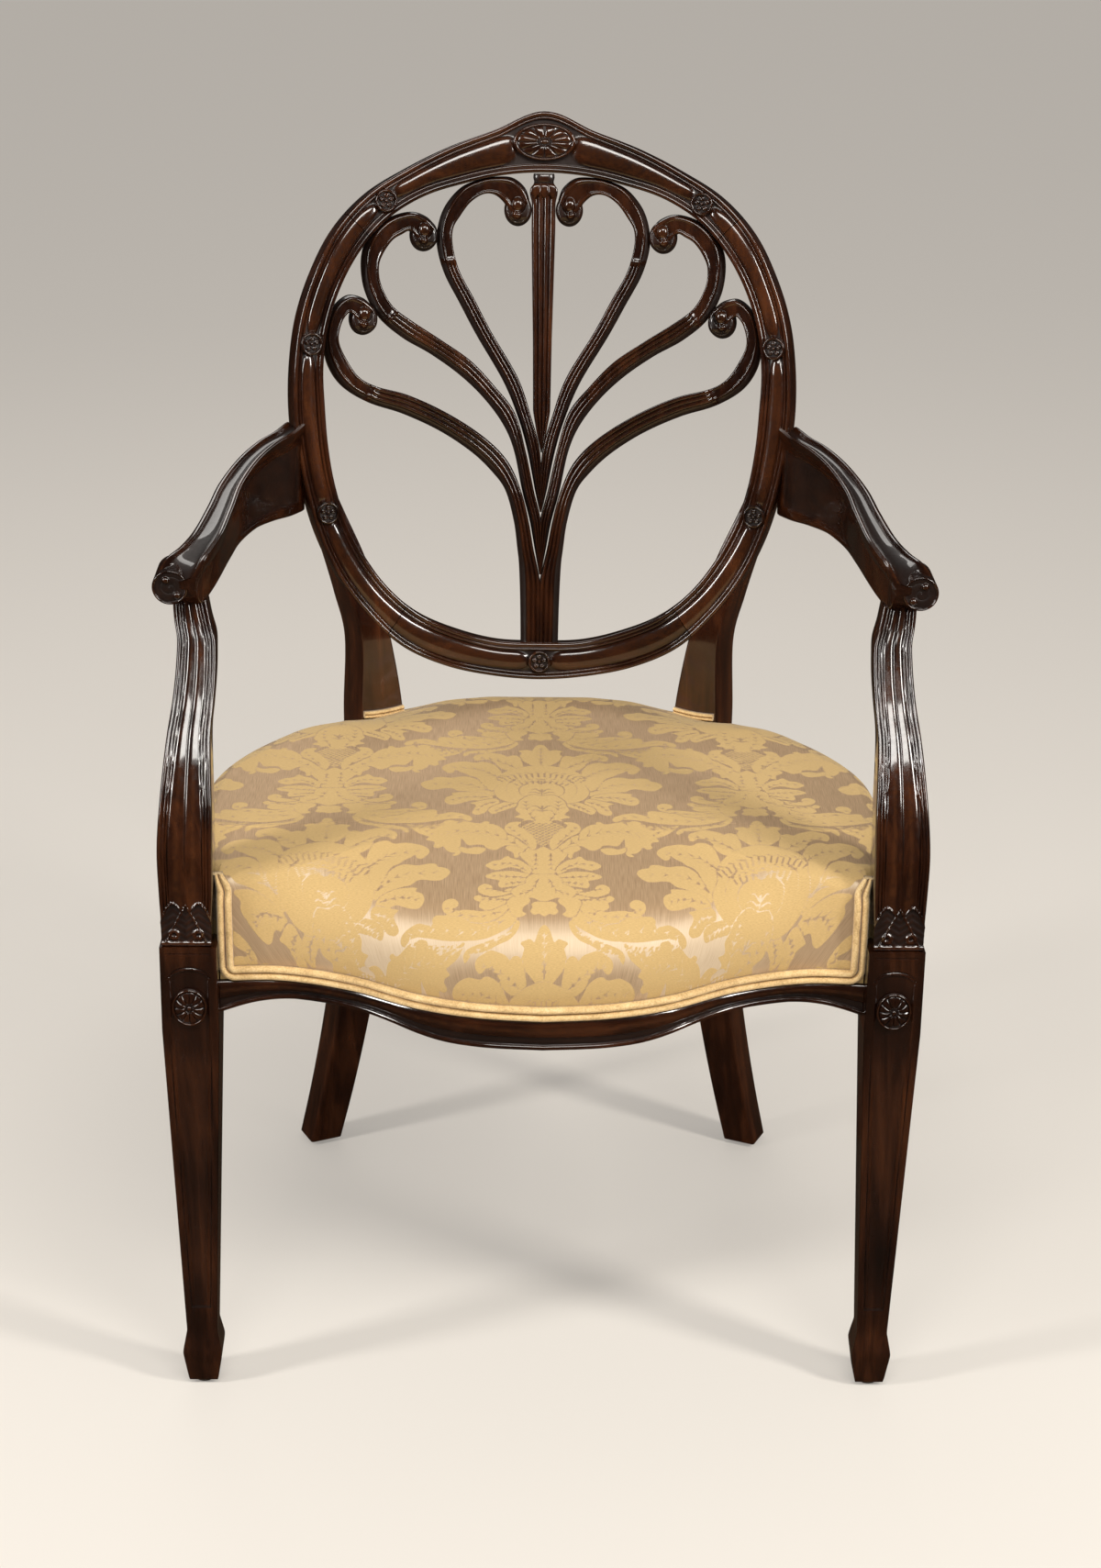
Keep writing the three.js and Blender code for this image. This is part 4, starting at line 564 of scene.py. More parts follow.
def post_skin():
    """Rings of the post: level ones up the leg, then ones on the back's own surface, joined smoothly."""
    z = np.linspace(4, POST_Z, 10)[:, None]
    drop = 1 - z / POST_Z
    taper = drop[:, 0] ** 0.8
    depth = POST_DEEP - 16 * taper
    across, back = eased_box(POST_WIDE - 10 * taper, depth)
    x, y = from_post(across, back - depth[:, None] / 2)
    low = np.stack([x + 56 * drop ** 1.9, y + 16 * drop ** 2, z + 0 * x], -1)
    along, over, wide, deep, spread = np.array(POST_TABLE).T[:, :, None]
    across, back = eased_box(wide[:, 0] * POST_WIDE, deep[:, 0] * POST_DEEP)
    splayed = over * OVAL_HALF + across + 7 * spread * back / (deep * POST_DEEP)
    rings = np.concatenate([low, back_point(splayed, along * OVAL_HIGH, 3 + back)])
    finer = through(rings.reshape(len(rings), -1), np.linspace(0, len(rings) - 1, 113), "straight")
    return skin(finer.reshape(113, -1, 3), 0.12)


stile = frame_strip(CREST_TURN + JOINT, LOWER_TURN - JOINT)
make_pair("rear_leg", [post_skin(), stile], POST)

# %% [markdown]
# ## The pierced splat
# Six branches spring in pairs from the foot of the back, like the leaves of a palm, and each ends
# in a scrolled hook that touches the frame. The straight run is worked with three fine reeds. Past a
# little carved step the hook has a reed on each edge with a plain field between, and the outer side
# falls away in a steep flank. Each branch is drawn by matching points on its two edges, so the reeds
# follow it wherever it goes.

# %% Branches
# per branch: points on its outer and its inner edge, where the step is and where the scroll's eye is,
# all across in halves of the oval's width and along in its height
BRANCHES = {
    "outer": (
        [[0.074, 0.040], [0.077, 0.131], [0.083, 0.201], [0.091, 0.235], [0.106, 0.284], [0.140, 0.338],
         [0.194, 0.372], [0.279, 0.408], [0.405, 0.445], [0.550, 0.475], [0.685, 0.495], [0.788, 0.523],
         [0.845, 0.559], [0.864, 0.600], [0.851, 0.638], [0.819, 0.665], [0.767, 0.682], [0.712, 0.678],
         [0.671, 0.663]],
        [[-0.003, 0.040], [-0.003, 0.131], [-0.001, 0.175], [0.027, 0.235], [0.047, 0.284], [0.078, 0.338],
         [0.131, 0.390], [0.225, 0.433], [0.369, 0.475], [0.523, 0.507], [0.653, 0.523], [0.730, 0.541],
         [0.784, 0.575], [0.811, 0.606], [0.797, 0.636], [0.770, 0.652], [0.757, 0.650], [0.734, 0.638],
         [0.707, 0.630]],
        (0.678, 0.515), (0.707, 0.644)),
    "middle": (
        [[0.004, 0.190], [0.023, 0.235], [0.043, 0.284], [0.074, 0.338], [0.108, 0.410], [0.153, 0.457],
         [0.230, 0.503], [0.324, 0.543], [0.437, 0.579], [0.550, 0.608], [0.644, 0.644], [0.697, 0.688],
         [0.713, 0.733], [0.700, 0.769], [0.659, 0.796], [0.596, 0.817], [0.517, 0.826], [0.459, 0.818],
         [0.423, 0.802]],
        [[-0.003, 0.190], [-0.003, 0.235], [-0.002, 0.284], [0.027, 0.338], [0.062, 0.410], [0.106, 0.477],
         [0.185, 0.523], [0.284, 0.569], [0.405, 0.606], [0.518, 0.638], [0.595, 0.664], [0.640, 0.700],
         [0.649, 0.732], [0.631, 0.755], [0.595, 0.777], [0.559, 0.787], [0.527, 0.793], [0.500, 0.781],
         [0.468, 0.773]],
        (0.589, 0.651), (0.468, 0.789)),
    "inner": (
        [[0.004, 0.302], [0.023, 0.338], [0.055, 0.410], [0.094, 0.470], [0.153, 0.533], [0.257, 0.612],
         [0.324, 0.668], [0.385, 0.720], [0.414, 0.767], [0.410, 0.803], [0.381, 0.838], [0.320, 0.869],
         [0.246, 0.883], [0.180, 0.888], [0.121, 0.886], [0.075, 0.870], [0.056, 0.849]],
        [[-0.003, 0.302], [-0.003, 0.338], [0.005, 0.410], [0.041, 0.470], [0.095, 0.539], [0.203, 0.620],
         [0.270, 0.676], [0.329, 0.724], [0.356, 0.767], [0.356, 0.797], [0.329, 0.819], [0.288, 0.843],
         [0.239, 0.857], [0.194, 0.857], [0.158, 0.845], [0.131, 0.827], [0.099, 0.819]],
        (0.351, 0.745), (0.1, 0.834)),
}


def reeds(share, count):
    """Half-round reeds side by side: 1 on each crown, 0 in the valleys."""
    return np.sqrt(np.clip(1 - (2 * np.mod(share * count, 1) - 1) ** 2, 0, 1))


SIDE_DEPTHS, SIDE_EASE, SIDE_HOLLOW = np.array([11.2, 13, 16.5, 18]), np.array([0, 0, 0, 1.2]), 0.35


def branch_skin(outer, inner, step):
    """A branch between its edges, three reeds up to the step, and edge reeds round a plain field past it."""
    t = np.linspace(0, 1, 300)
    scale = np.array([OVAL_HALF, OVAL_HIGH])
    far, near = spline(np.array(outer) * scale, t)[:, None], spline(np.array(inner) * scale, t)[:, None]
    turning = t[np.argmin(np.linalg.norm((far + near)[:, 0] / 2 - np.array(step) * scale, axis=1))]
    share = np.linspace(0, 1, 43)[None, :, None]
    front = near + (far - near) * share
    width = np.linalg.norm(far - near, axis=-1)
    hooked = smoothstep(t, turning - 0.004, turning + 0.004)[:, None]
    s = share[..., 0]
    flank = 0.27 - 0.19 * smoothstep(t, turning + 0.02, turning + 0.3)[:, None]
    over_flank = np.clip((s - 1 + flank) / flank, 0, 1)
    s = np.clip(s / (1 - flank), 0, 1)
    edges = np.maximum(round_top(s, 0.13, 0.13), round_top(s, 0.87, 0.13))
    field = np.where(np.abs(s - 0.5) < 0.37, 0.30 + 0.35 * round_top(s, 0.5, 0.37), 0)
    relief = ((1 - hooked) * reeds(s, 3) + hooked * np.maximum(edges, field)) * (over_flank == 0)
    nick = ridge(t, turning, 0.006)[:, None]
    depth = 4.0 + np.minimum(2.4, width / 4) * (1 - relief) * (1 - 0.9 * nick)
    depth = depth - 0.7 * nick + 1.6 * nick * (np.abs(s - 0.5) > 0.47) + 4.5 * over_flank ** 1.4
    over = far + (near - far) * (SIDE_EASE / width)[..., None]
    under = near + (far - near) * (SIDE_EASE[::-1] / width)[..., None]
    flat = np.concatenate([front, over, under], 1)
    deep = and_then(depth, np.r_[SIDE_DEPTHS, SIDE_DEPTHS[::-1]])
    hollow = and_then(np.clip(1 - relief, 0, 1) * (1 - 0.6 * nick), [SIDE_HOLLOW] * 8)
    return skin(back_point(flat[..., 0], flat[..., 1], deep), hollow * 0.95)


# %% Scroll eyes
ANGLE = np.linspace(0, 2 * math.pi, 96, endpoint=False)[None]
EYE_RADIUS = 12


def polar_skin(radii, heights, hollow, squeeze=(1.0, 1.0)):
    """A carved boss: rings of growing radius (a column) with heights (rings, columns), closed below."""
    x, y = radii * np.cos(ANGLE) * squeeze[0], radii * np.sin(ANGLE) * squeeze[1]
    top = np.stack([x, y, heights], -1)
    foot = top[-1:] * (1, 1, 0)
    return np.concatenate([top, foot, foot * (0.2, 0.2, 1)]), np.r_[hollow, np.full((2, ANGLE.size), 0.5)]


def scroll_eye():
    """The end of a scrolled hook: a drum with a large bead and a small one lying on its face."""
    r = np.r_[np.linspace(0.02, 0.93, 44), 0.965, 0.99, 1.0][:, None] * EYE_RADIUS
    x, y = r * np.cos(ANGLE), r * np.sin(ANGLE)
    face = 13.2 - 3.4 * (r / EYE_RADIUS) ** 6 + 0.9 * round_top(np.hypot(x, y), 10.3, 1.4)
    face = face - 6.0 * smoothstep(-y, 4, 13)
    to_ball = np.hypot(x - 0.4, y - 4.4)
    ball, small = 5.6 * round_top(to_ball, 0, 5.6), 4.3 * round_top(np.hypot(x - 1.2, y + 2.9), 0, 4.3)
    moat = 1.6 * ridge(to_ball, 6.2, 0.8)
    height = face - moat + np.maximum(ball * 0.9, small * 0.9)
    # painted shade: the eye's face is painted darker, most on its lower, sunk lobe and in the moat round the
    # large ball, less on the two balls
    hollow = np.clip(0.7 + 0.3 * smoothstep(-y, 4, 10) - np.maximum(ball, small) / 5, 0, 1) + moat * 0.2
    rings, shade = polar_skin(r, height, hollow, squeeze=(1.0, 1.18))
    return rings, np.clip(shade, 0, 1)


rings, shade = scroll_eye()
for label, (outer, inner, step, eye) in BRANCHES.items():
    drum = skin(on_back(rings, eye[0] * OVAL_HALF, eye[1] * OVAL_HIGH - 1.6, SIDE_DEPTHS[-1]), shade)
    make_pair(f"splat_{label}_branch", [branch_skin(outer, inner, step), drum], UPRIGHT)

# %% [markdown]
# The bar up the middle carries four reeds. Near the crest they end under a small calyx of pointed
# leaves with a round knob over it, which meets the rail.

# %% Centre bar
# height and half width, from the stem to the crest
BAR_TABLE = np.array([[205.2, 0.4], [221.8, 4.2], [241.4, 7.5], [305.8, 8.2], [356.1, 9.3], [400.9, 10.2],
                      [425, 10.2], [431, 11.9], [437, 12.0], [441.5, 7.6], [446, 9.6], [449.7, 8.6]])


def centre_bar():
    """The bar's half width along its height, with four reeds, then the calyx and the knob as other relief."""
    along = np.linspace(205.3, 449.6, 330)[:, None]
    half = np.interp(along[:, 0], *BAR_TABLE.T)
    half = np.convolve(np.pad(half, 3, mode="edge"), np.ones(7) / 7, "valid")[:, None]
    s = np.linspace(0, 1, 49)[None]
    tips = 428 + 4.5 * np.abs(np.mod(s * 3, 1) - 0.5) * 2
    leaf = smoothstep(along, tips - 0.5, tips + 0.8)
    knob = smoothstep(along, 440.5, 441.5)
    ball = round_top(s, 0.5, 0.5) * round_top(along, 446, 5.6)
    calyx = 0.55 + 0.45 * reeds(s, 3)
    relief = reeds(s, 4) * (1 - leaf) + calyx * leaf * (1 - knob) + knob * ball
    depth = 4 + 2.4 * (1 - relief) - 2.2 * leaf * (1 - knob) * round_top(along, 434, 8) - 2.0 * knob * ball
    depth = and_then(depth + ridge(along, 441, 0.9), [7.5, 12, 16.5, 18, 18, 16.5, 12, 7.5])
    across = np.concatenate([half * (2 * s - 1), half - SIDE_EASE, -half + SIDE_EASE[::-1]], 1)
    # the knob gets half a step more of the hollows' darkening: painted shade under the crest rail
    hollow = and_then(np.clip(1 - relief + 0.5 * knob, 0, 1), [SIDE_HOLLOW] * 8)
    return skin(back_point(across, along + 0 * across, depth), hollow)


make_piece("splat_centre_bar_carved", [centre_bar()], UPRIGHT, ["splat_centre_bar"])

# %% [markdown]
# ## Rosettes and paterae
# Small carved discs cover the places where branches touch the frame: a raised rim, five round
# petals and a bead in the middle. The crest carries an oval patera with twelve radiating petals and
# a ring of tiny beads. All are height maps over a disc, worked out in polar coordinates.

# %% Rosettes
BOSS_DEPTH, ROSETTE_RADIUS = 2.3, 10


def rosette_skin():
    """Height over a disc: the highest of a rim ring, five petals set round the centre and a centre bead."""
    r = np.linspace(0.02, 1, 56)[:, None]
    x, y = r * np.cos(ANGLE), r * np.sin(ANGLE)
    parts = [round_top(r, 0.87, 0.13) * np.ones_like(x), 1.15 * round_top(np.hypot(x, y), 0, 0.17)]
    for angle in np.radians(90 + 72 * np.arange(5)):
        far = np.hypot(x - 0.46 * math.cos(angle), y - 0.46 * math.sin(angle))
        parts.append(0.85 * np.maximum(0, round_top(far, 0, 0.245) - 0.35 * round_top(far, 0, 0.09)))
    relief = np.maximum.reduce(parts)
    return polar_skin(r * ROSETTE_RADIUS, 2.3 + 2.2 * relief, np.clip(1 - relief, 0, 1))


rings, shade = rosette_skin()
for label, angle in zip(("upper", "side", "lower"), ROSETTE_TURNS):
    make_pair(f"{label}_rosette", [skin(on_back(rings, *oval_middle(angle), BOSS_DEPTH), shade)], UPRIGHT)
bottom = skin(on_back(rings, *oval_middle(math.pi), BOSS_DEPTH), shade)
make_piece("bottom_rosette_carved", [bottom], UPRIGHT, ["bottom_rosette"])


# %% Paterae
PATERA_HIGH, PETALS = 32, 12


def patera_skin(width, rise):
    """A domed oval: rim, pointed petals with sharp grooves between, a ring of tiny beads, a centre bead."""
    r = np.linspace(0.015, 1, 70)[:, None]
    swing = np.abs(np.sin(ANGLE * PETALS / 2))
    rim = round_top(r, 0.93, 0.07) * np.ones_like(swing)
    blade = np.clip(1 - ((r - 0.54) / 0.31) ** 2, 0, 1) ** 0.5 * swing ** 0.45
    groove = np.where((r > 0.24) & (r < 0.85), blade, 0)
    dots = round_top(r, 0.215, 0.045) * np.clip(np.cos(ANGLE * 12), 0, 1) ** 0.5
    bead = round_top(r, 0, 0.14) * np.ones_like(swing)
    relief = np.maximum.reduce([rim, groove * 0.9, dots * 0.8, bead])
    height = rise * (0.35 + 0.45 * (1 - r ** 2) + 0.42 * relief)
    return polar_skin(r, height, np.clip(1 - relief, 0, 1) ** 1.3, squeeze=(width / 2, PATERA_HIGH / 2))


rings, shade = patera_skin(PATERA_WIDE, 4.6)
crest_boss = skin(on_back(rings, *oval_middle(0.0), BOSS_DEPTH), shade)
make_piece("crest_patera_carved", [crest_boss], CROSSWISE, ["crest_patera"])
LEG_HALF, LEG_PATERA_Z = 22.5, 354
rings, shade = patera_skin(28, 4.4)
standing = rings @ np.array([[1, 0, 0], [0, 0, 1], [0, -1, 0]])
standing = standing + (LEG_X, LEG_Y - LEG_HALF + 0.9, LEG_PATERA_Z)
make_pair("front_leg_patera", [skin(standing, shade)], UPRIGHT)

# %% [markdown]
# ## Front legs
# A square block takes the rails; below it the leg tapers to a thin ankle over a spade foot. The
# front and the outer side carry a sunk panel with a fine bead round it, arched over the patera and
# drawn to the taper below. The panel is a distance field on the face: how far a point lies inside
# the panel's edge sets how far it is cut back.

# %% Front leg
# height and half width: spade foot, ankle, taper and block
LEG_TABLE = np.array([[4, 11.7], [8, 12.6], [30, 15.8], [33, 16.0], [36, 15.6], [52, 12.5], [333, LEG_HALF],
                      [405, LEG_HALF]])
PANEL_SUNK = 1.5


def panel_cut(across, z, half):
    """How deep the sunk panel and the groove beside its bead go: the distance inside the panel decides."""
    edge = half - 5.2
    arch = 376 + 12 * round_top(across, 0, edge)
    inside = np.minimum(np.minimum(edge - np.abs(across), z - 74), arch - z)
    sunk = PANEL_SUNK * smoothstep(inside, 2.3, 3.3)
    groove = 1.1 * ridge(inside, 0.3, 0.5)
    groove = groove + 0.8 * ridge(z, 399.5, 0.5) * smoothstep(edge - np.abs(across), -1.0, 1.0)
    return sunk + groove, np.clip(sunk / PANEL_SUNK * 0.45 + groove * 0.9, 0, 1)


def front_leg_skin():
    """Square rings with eased corners, the panel cut into the front and the outer face."""
    steps = [np.linspace(*stretch) for stretch in ((4, 60, 40), (60, 372, 130), (372, 405, 64))]
    z = np.unique(np.concatenate(steps))[:, None]
    half = np.interp(z, *LEG_TABLE.T)
    t = np.linspace(-1, 1, 41)[None]
    across = np.sign(t) * (1 - (1 - np.abs(t)) ** 1.25) * half
    ease = 1 - np.clip((np.abs(t) - 0.94) / 0.06, 0, 1) ** 2 / 22
    cut, hollow = panel_cut(across, z, half)
    faces, shades = [], []
    for angle, carved in [(-90, 1), (0, 1), (90, 0), (180, 0)]:
        c, s = math.cos(math.radians(angle)), math.sin(math.radians(angle))
        out = half * ease - cut * carved
        x, y = LEG_X + out * c - across * s, LEG_Y + out * s + across * c
        faces.append(np.stack([x, y, z + 0 * x], -1)[:, :-1])
        shades.append((0.08 + hollow * carved)[:, :-1])
    return skin(np.concatenate(faces, 1), np.concatenate(shades, 1))


make_pair("front_leg", [front_leg_skin()], UPRIGHT)

# %% [markdown]
# ## Seat rails
# Only the lower part of each rail shows: a broad round under the welt, a hollow, and a bead along
# the foot. The front rail swells forward in a serpentine and its foot rises to a shallow arch at
# either side of the middle. Profile and path come together as one grid.

# %% Rail paths
BOW, SEAT_FRONT, SEAT_WIDE, SEAT_DEEP = 70.0, 259.0, 292.0, 433.0
RAIL_FOOT, REBATE_FOOT, RAIL_TOP, REBATE, RAIL_THICK = 345.0, 370, 405, 8.2, 25
# plan curves of the front and the side, and the rise of the front rail's foot, all as shares
SERPENTINE = [[0, 1], [0.193, 0.914], [0.375, 0.686], [0.58, 0.229], [0.8, -0.03], [1, 0]]
ARCH = [[0, 0], [0.28, 0.02], [0.48, 0.7], [0.7, 1], [0.87, 0.58], [1, -0.35]]
SIDE_PLAN = [[0.988, 0.076], [1, 0.19], [1, 0.33], [0.985, 0.5], [0.92, 0.67], [0.79, 0.81], [0.65, 0.895],
             [0.56, 0.942], [0.5, 0.98]]


def curve_at(points, share):
    """The height of a plan curve at a share of its run, read off a dense table of the curve."""
    dense = spline(points, np.linspace(0, 1, 2000))
    return np.interp(np.clip(np.abs(share), 0, 1), dense[:, 0], dense[:, 1])


def front_y(x):
    """The serpentine front of the seat."""
    return -BOW * curve_at(SERPENTINE, x / SEAT_FRONT)


def side_point(share, inset):
    """A point of the seat's side in plan, moved inwards by the inset."""
    share, inset = np.broadcast_arrays(np.asarray(share, float), inset)
    points = np.array(SIDE_PLAN) * (SEAT_WIDE, SEAT_DEEP)
    at = spline(points, share)
    along = spline(points, np.clip(share + 1e-4, 0, 1)) - spline(points, np.clip(share - 1e-4, 0, 1))
    along /= np.linalg.norm(along, axis=-1, keepdims=True)
    return np.stack([at[..., 0] - along[..., 1] * inset, at[..., 1] + along[..., 0] * inset], -1)


def rail_profile(foot):
    """Columns of inset and height: foot bead, hollow, broad round, ledge, rebate and plain back."""
    show = REBATE_FOOT - foot
    t = np.linspace(0, 1, 60)[None]
    bead, torus = round_top(t * show, 2.2, 2.2), round_top(t, 0.70, 0.30)
    inset = 3.4 - np.maximum(bead * 2.6, torus * 3.4) - 0.7 * np.clip(t * show - 4, 0, 3) / 3 * (t < 0.4)
    insets = and_then(inset, [REBATE, REBATE, RAIL_THICK, RAIL_THICK])
    heights = np.concatenate([and_then(foot + t * show, [REBATE_FOOT, RAIL_TOP, RAIL_TOP]), foot], 1)
    return insets, heights, and_then(np.clip(inset / 3.4, 0, 1), [0.5] * 4)


# %% Rails
x = np.linspace(-255.8, 255.8, 301)[:, None]
insets, heights, hollow = rail_profile(RAIL_FOOT + 10 * curve_at(ARCH, x / SEAT_FRONT))
rings = np.stack([x + 0 * insets, front_y(x) + insets, heights], -1)
make_piece("front_seat_rail_carved", [skin(rings, hollow)], CROSSWISE, ["front_seat_rail"], sharp=60)

# a side rail starts square behind its front leg
BEHIND_LEG = 32.8
share = np.linspace(0, 0.995, 180)[:, None]
insets, heights, hollow = rail_profile(np.full((180, 1), RAIL_FOOT))
plan = side_point(share, insets)
plan[0, :, 1] = BEHIND_LEG
rings = np.concatenate([plan, heights[..., None]], -1)
make_pair("side_seat_rail", [skin(rings, hollow)], LENGTHWISE, sharp=60)

x = np.linspace(-143, 143, 60)[:, None]
insets, heights, hollow = rail_profile(np.full((60, 1), RAIL_FOOT))
rings = np.stack([x + 0 * insets, SEAT_DEEP - insets, heights], -1)
make_piece("rear_seat_rail_carved", [skin(rings, hollow)], CROSSWISE, ["rear_seat_rail"], sharp=60)

# %% [markdown]
# ## Arms
# An arm leaves the back tall and thin, sweeps out, down and forward, and ends in a scroll. Its top
# is a shallow hollow between two beads; its sides carry a long sunk panel near the back. Sections
# stand upright across its path in plan. The scroll is a drum with a spiral carved in its face.

# %% Arm
# stations from the stile forwards: reach, spread, width, top and height, in shares of the values below
ARM_TABLE = [
    [0, 0.704, 0.060, 1, 0.112], [0.083, 0.731, 0.062, 0.998, 0.105], [0.16, 0.772, 0.060, 0.995, 0.098],
    [0.282, 0.815, 0.060, 0.989, 0.086], [0.436, 0.850, 0.064, 0.979, 0.073],
    [0.589, 0.865, 0.070, 0.970, 0.061], [0.742, 0.882, 0.078, 0.962, 0.052],
    [0.865, 0.899, 0.086, 0.961, 0.051], [0.942, 0.914, 0.098, 0.961, 0.050],
    [0.985, 0.925, 0.108, 0.957, 0.043], [1.018, 0.936, 0.108, 0.949, 0.014]]
ARM_TOP, ARM_REACH, ARM_SPREAD, ARM_Y, ARM_LIP = 718.0, 326.0, 308.0, 412.0, 7.5
SCROLL_AT, SCROLL_RADIUS = (293.5, 79, 671.5), 14
# how far back from its face the scroll's drum is how wide
SCROLL_DRUM = np.array([[0.8, 14], [6, 14], [14, 14], [24, 14], [34, 14], [42, 14], [45, 13.2], [46, 11]])


def arm_skin():
    """Upright sections along the arm: hollowed top between beads, lips, and sides with a sunk panel."""
    place = np.linspace(0, len(ARM_TABLE) - 1, 200)
    reach, spread, width, top, height = through(ARM_TABLE, place, "straight").T[:, :, None]
    run = through(ARM_TABLE, place + 0.5, "straight") - through(ARM_TABLE, place - 0.5, "straight")
    turn = np.arctan2(run[:, 1] * ARM_SPREAD, run[:, 0] * ARM_REACH)[:, None]
    half, top, height = width * ARM_SPREAD / 2, top * ARM_TOP, height * ARM_TOP
    over = np.linspace(-1, 1, 61)[None] * half
    gap = half - np.abs(over)
    bead = np.where(gap < 4.4, 2.2 - 2.2 * round_top(gap, 2.2, 2.2), 99)
    drop_top = np.minimum(bead, 3.3 * round_top(over, 0, half - 4.0) + 0.9)
    down = np.linspace(0, 1, 40)[None]
    drop_side = ARM_LIP + (height - ARM_LIP) * down
    rim = np.minimum((down - 0.10) * height, (0.86 - down) * height)
    rim = np.minimum(rim, np.minimum((0.60 - reach) * 120, (reach - 0.035) * ARM_REACH))
    panel = 1.6 * smoothstep(rim, 0, 1.4) * smoothstep(reach, 0.62, 0.2)
    foot_ease = 2.5 * (1 - round_top(np.clip((down - 0.95) / 0.05, 0, 1), 0, 1))
    neck = (0.22 - 0.14 * smoothstep(reach, 0.55, 0.9)) * smoothstep(drop_side, 5.5, 12.0)
    side_half = half * (1 - neck) - panel - foot_ease
    across = np.concatenate([over, side_half, -side_half[:, ::-1]], 1)
    drop = np.concatenate([drop_top, drop_side, drop_side[:, ::-1]], 1)
    x = spread * ARM_SPREAD + across * np.cos(turn)
    y = ARM_Y - reach * ARM_REACH + across * np.sin(turn)
    side_hollow = 0.3 + panel * 0.3
    hollow = np.concatenate([np.clip(drop_top / 4.2, 0, 1), side_hollow, side_hollow[:, ::-1]], 1)
    return skin(np.stack([x, y, top - drop], -1), hollow)


def arm_scroll():
    """The drum at the end of the arm, lying along Y, with a spiral and two balls carved in its front."""
    r = np.linspace(0.02, 1, 60)[:, None]
    x, y = r * np.cos(ANGLE), r * np.sin(ANGLE)
    thread = 0.35 * round_top(np.mod(r * 2.1 - ANGLE / (2 * math.pi), 1), 0.5, 0.5) * (r < 0.86)
    balls = [2.0 * round_top(np.hypot(x - a, y - b), 0, 0.22) for a, b in ((0.22, 0.42), (-0.40, -0.45))]
    relief = np.maximum.reduce([thread, *balls, round_top(r, 0.93, 0.07) * np.ones_like(x)])
    front = np.stack([x * SCROLL_RADIUS, 0.9 - 1.6 * relief, y * SCROLL_RADIUS], -1)
    length, radius = SCROLL_DRUM.T[:, :, None]
    drum = np.stack([radius * np.cos(ANGLE), length + 0 * ANGLE, radius * np.sin(ANGLE)], -1)
    hollow = np.r_[np.clip(1 - relief / 1.6, 0, 1), np.full(drum.shape[:2], 0.25)]
    return skin(np.concatenate([front, drum]) + SCROLL_AT, hollow)


make_pair("arm", [arm_skin(), arm_scroll()], LENGTHWISE)

# %% [markdown]
# ## Arm supports
# Each support stands on the leg behind a collar of carved leaves, leans out and back in a slow S,
# and carries two broad reeds up its front between fine side beads. The leaf collar has two tall leaves
# behind a pointed one, each with a raised lip, ribs and a small curl, over a round at the foot.

# %% Support
# stations from the leg up: rise, lean outwards, sweep back, width and depth, in shares of the values below
SUPPORT_TABLE = [
    [0, 0.06, 0, 0.97, 1], [0.09, 0.06, 0.01, 1, 1], [0.17, 0.06, 0.03, 1.05, 0.97],
    [0.3, 0.08, 0.07, 1.08, 0.92], [0.42, 0.05, 0.16, 1.04, 0.84], [0.54, 0.02, 0.30, 0.94, 0.76],
    [0.63, -0.02, 0.44, 0.86, 0.7], [0.71, -0.13, 0.58, 0.82, 0.66], [0.78, -0.2, 0.68, 0.8, 0.64],
    [0.84, -0.22, 0.76, 0.78, 0.62], [0.89, -0.2, 0.82, 0.76, 0.62], [0.94, -0.04, 0.88, 0.72, 0.62],
    [1, 0.08, 0.93, 0.67, 0.62]]
SUPPORT_Z, SUPPORT_TALL, SUPPORT_WIDE = 405.3, 250.7, 40
SUPPORT_LEAN, SUPPORT_SWEEP, SUPPORT_FRONT = 20, 112, -20.5


def support_collar(s, wide, z):
    """Relief depth of the carved collar, and where it lies: two tall leaves behind a pointed one, with lips
    along their edges, ribs and curls."""
    off_leaf = np.abs(np.abs(s) - 0.24)
    tall, near = 37 - 140 * off_leaf ** 1.6, 35 - 76 * np.abs(s)
    leaf = smoothstep(np.maximum(tall, near) - z, -0.7, 0.5)
    lip = np.maximum(ridge(tall - z, 0.9, 0.9) * (near < z + 3), ridge(near - z, 0.9, 0.9))
    ribs = np.cos(2 * math.pi * (z / 5.5 + 5 * off_leaf))
    curl = round_top(np.hypot((np.abs(s) - 0.24) * wide, z - 9.5), 3.0, 1.6)
    return 1.5 + 0.25 * ribs - 1.9 * lip - 1.4 * curl, leaf


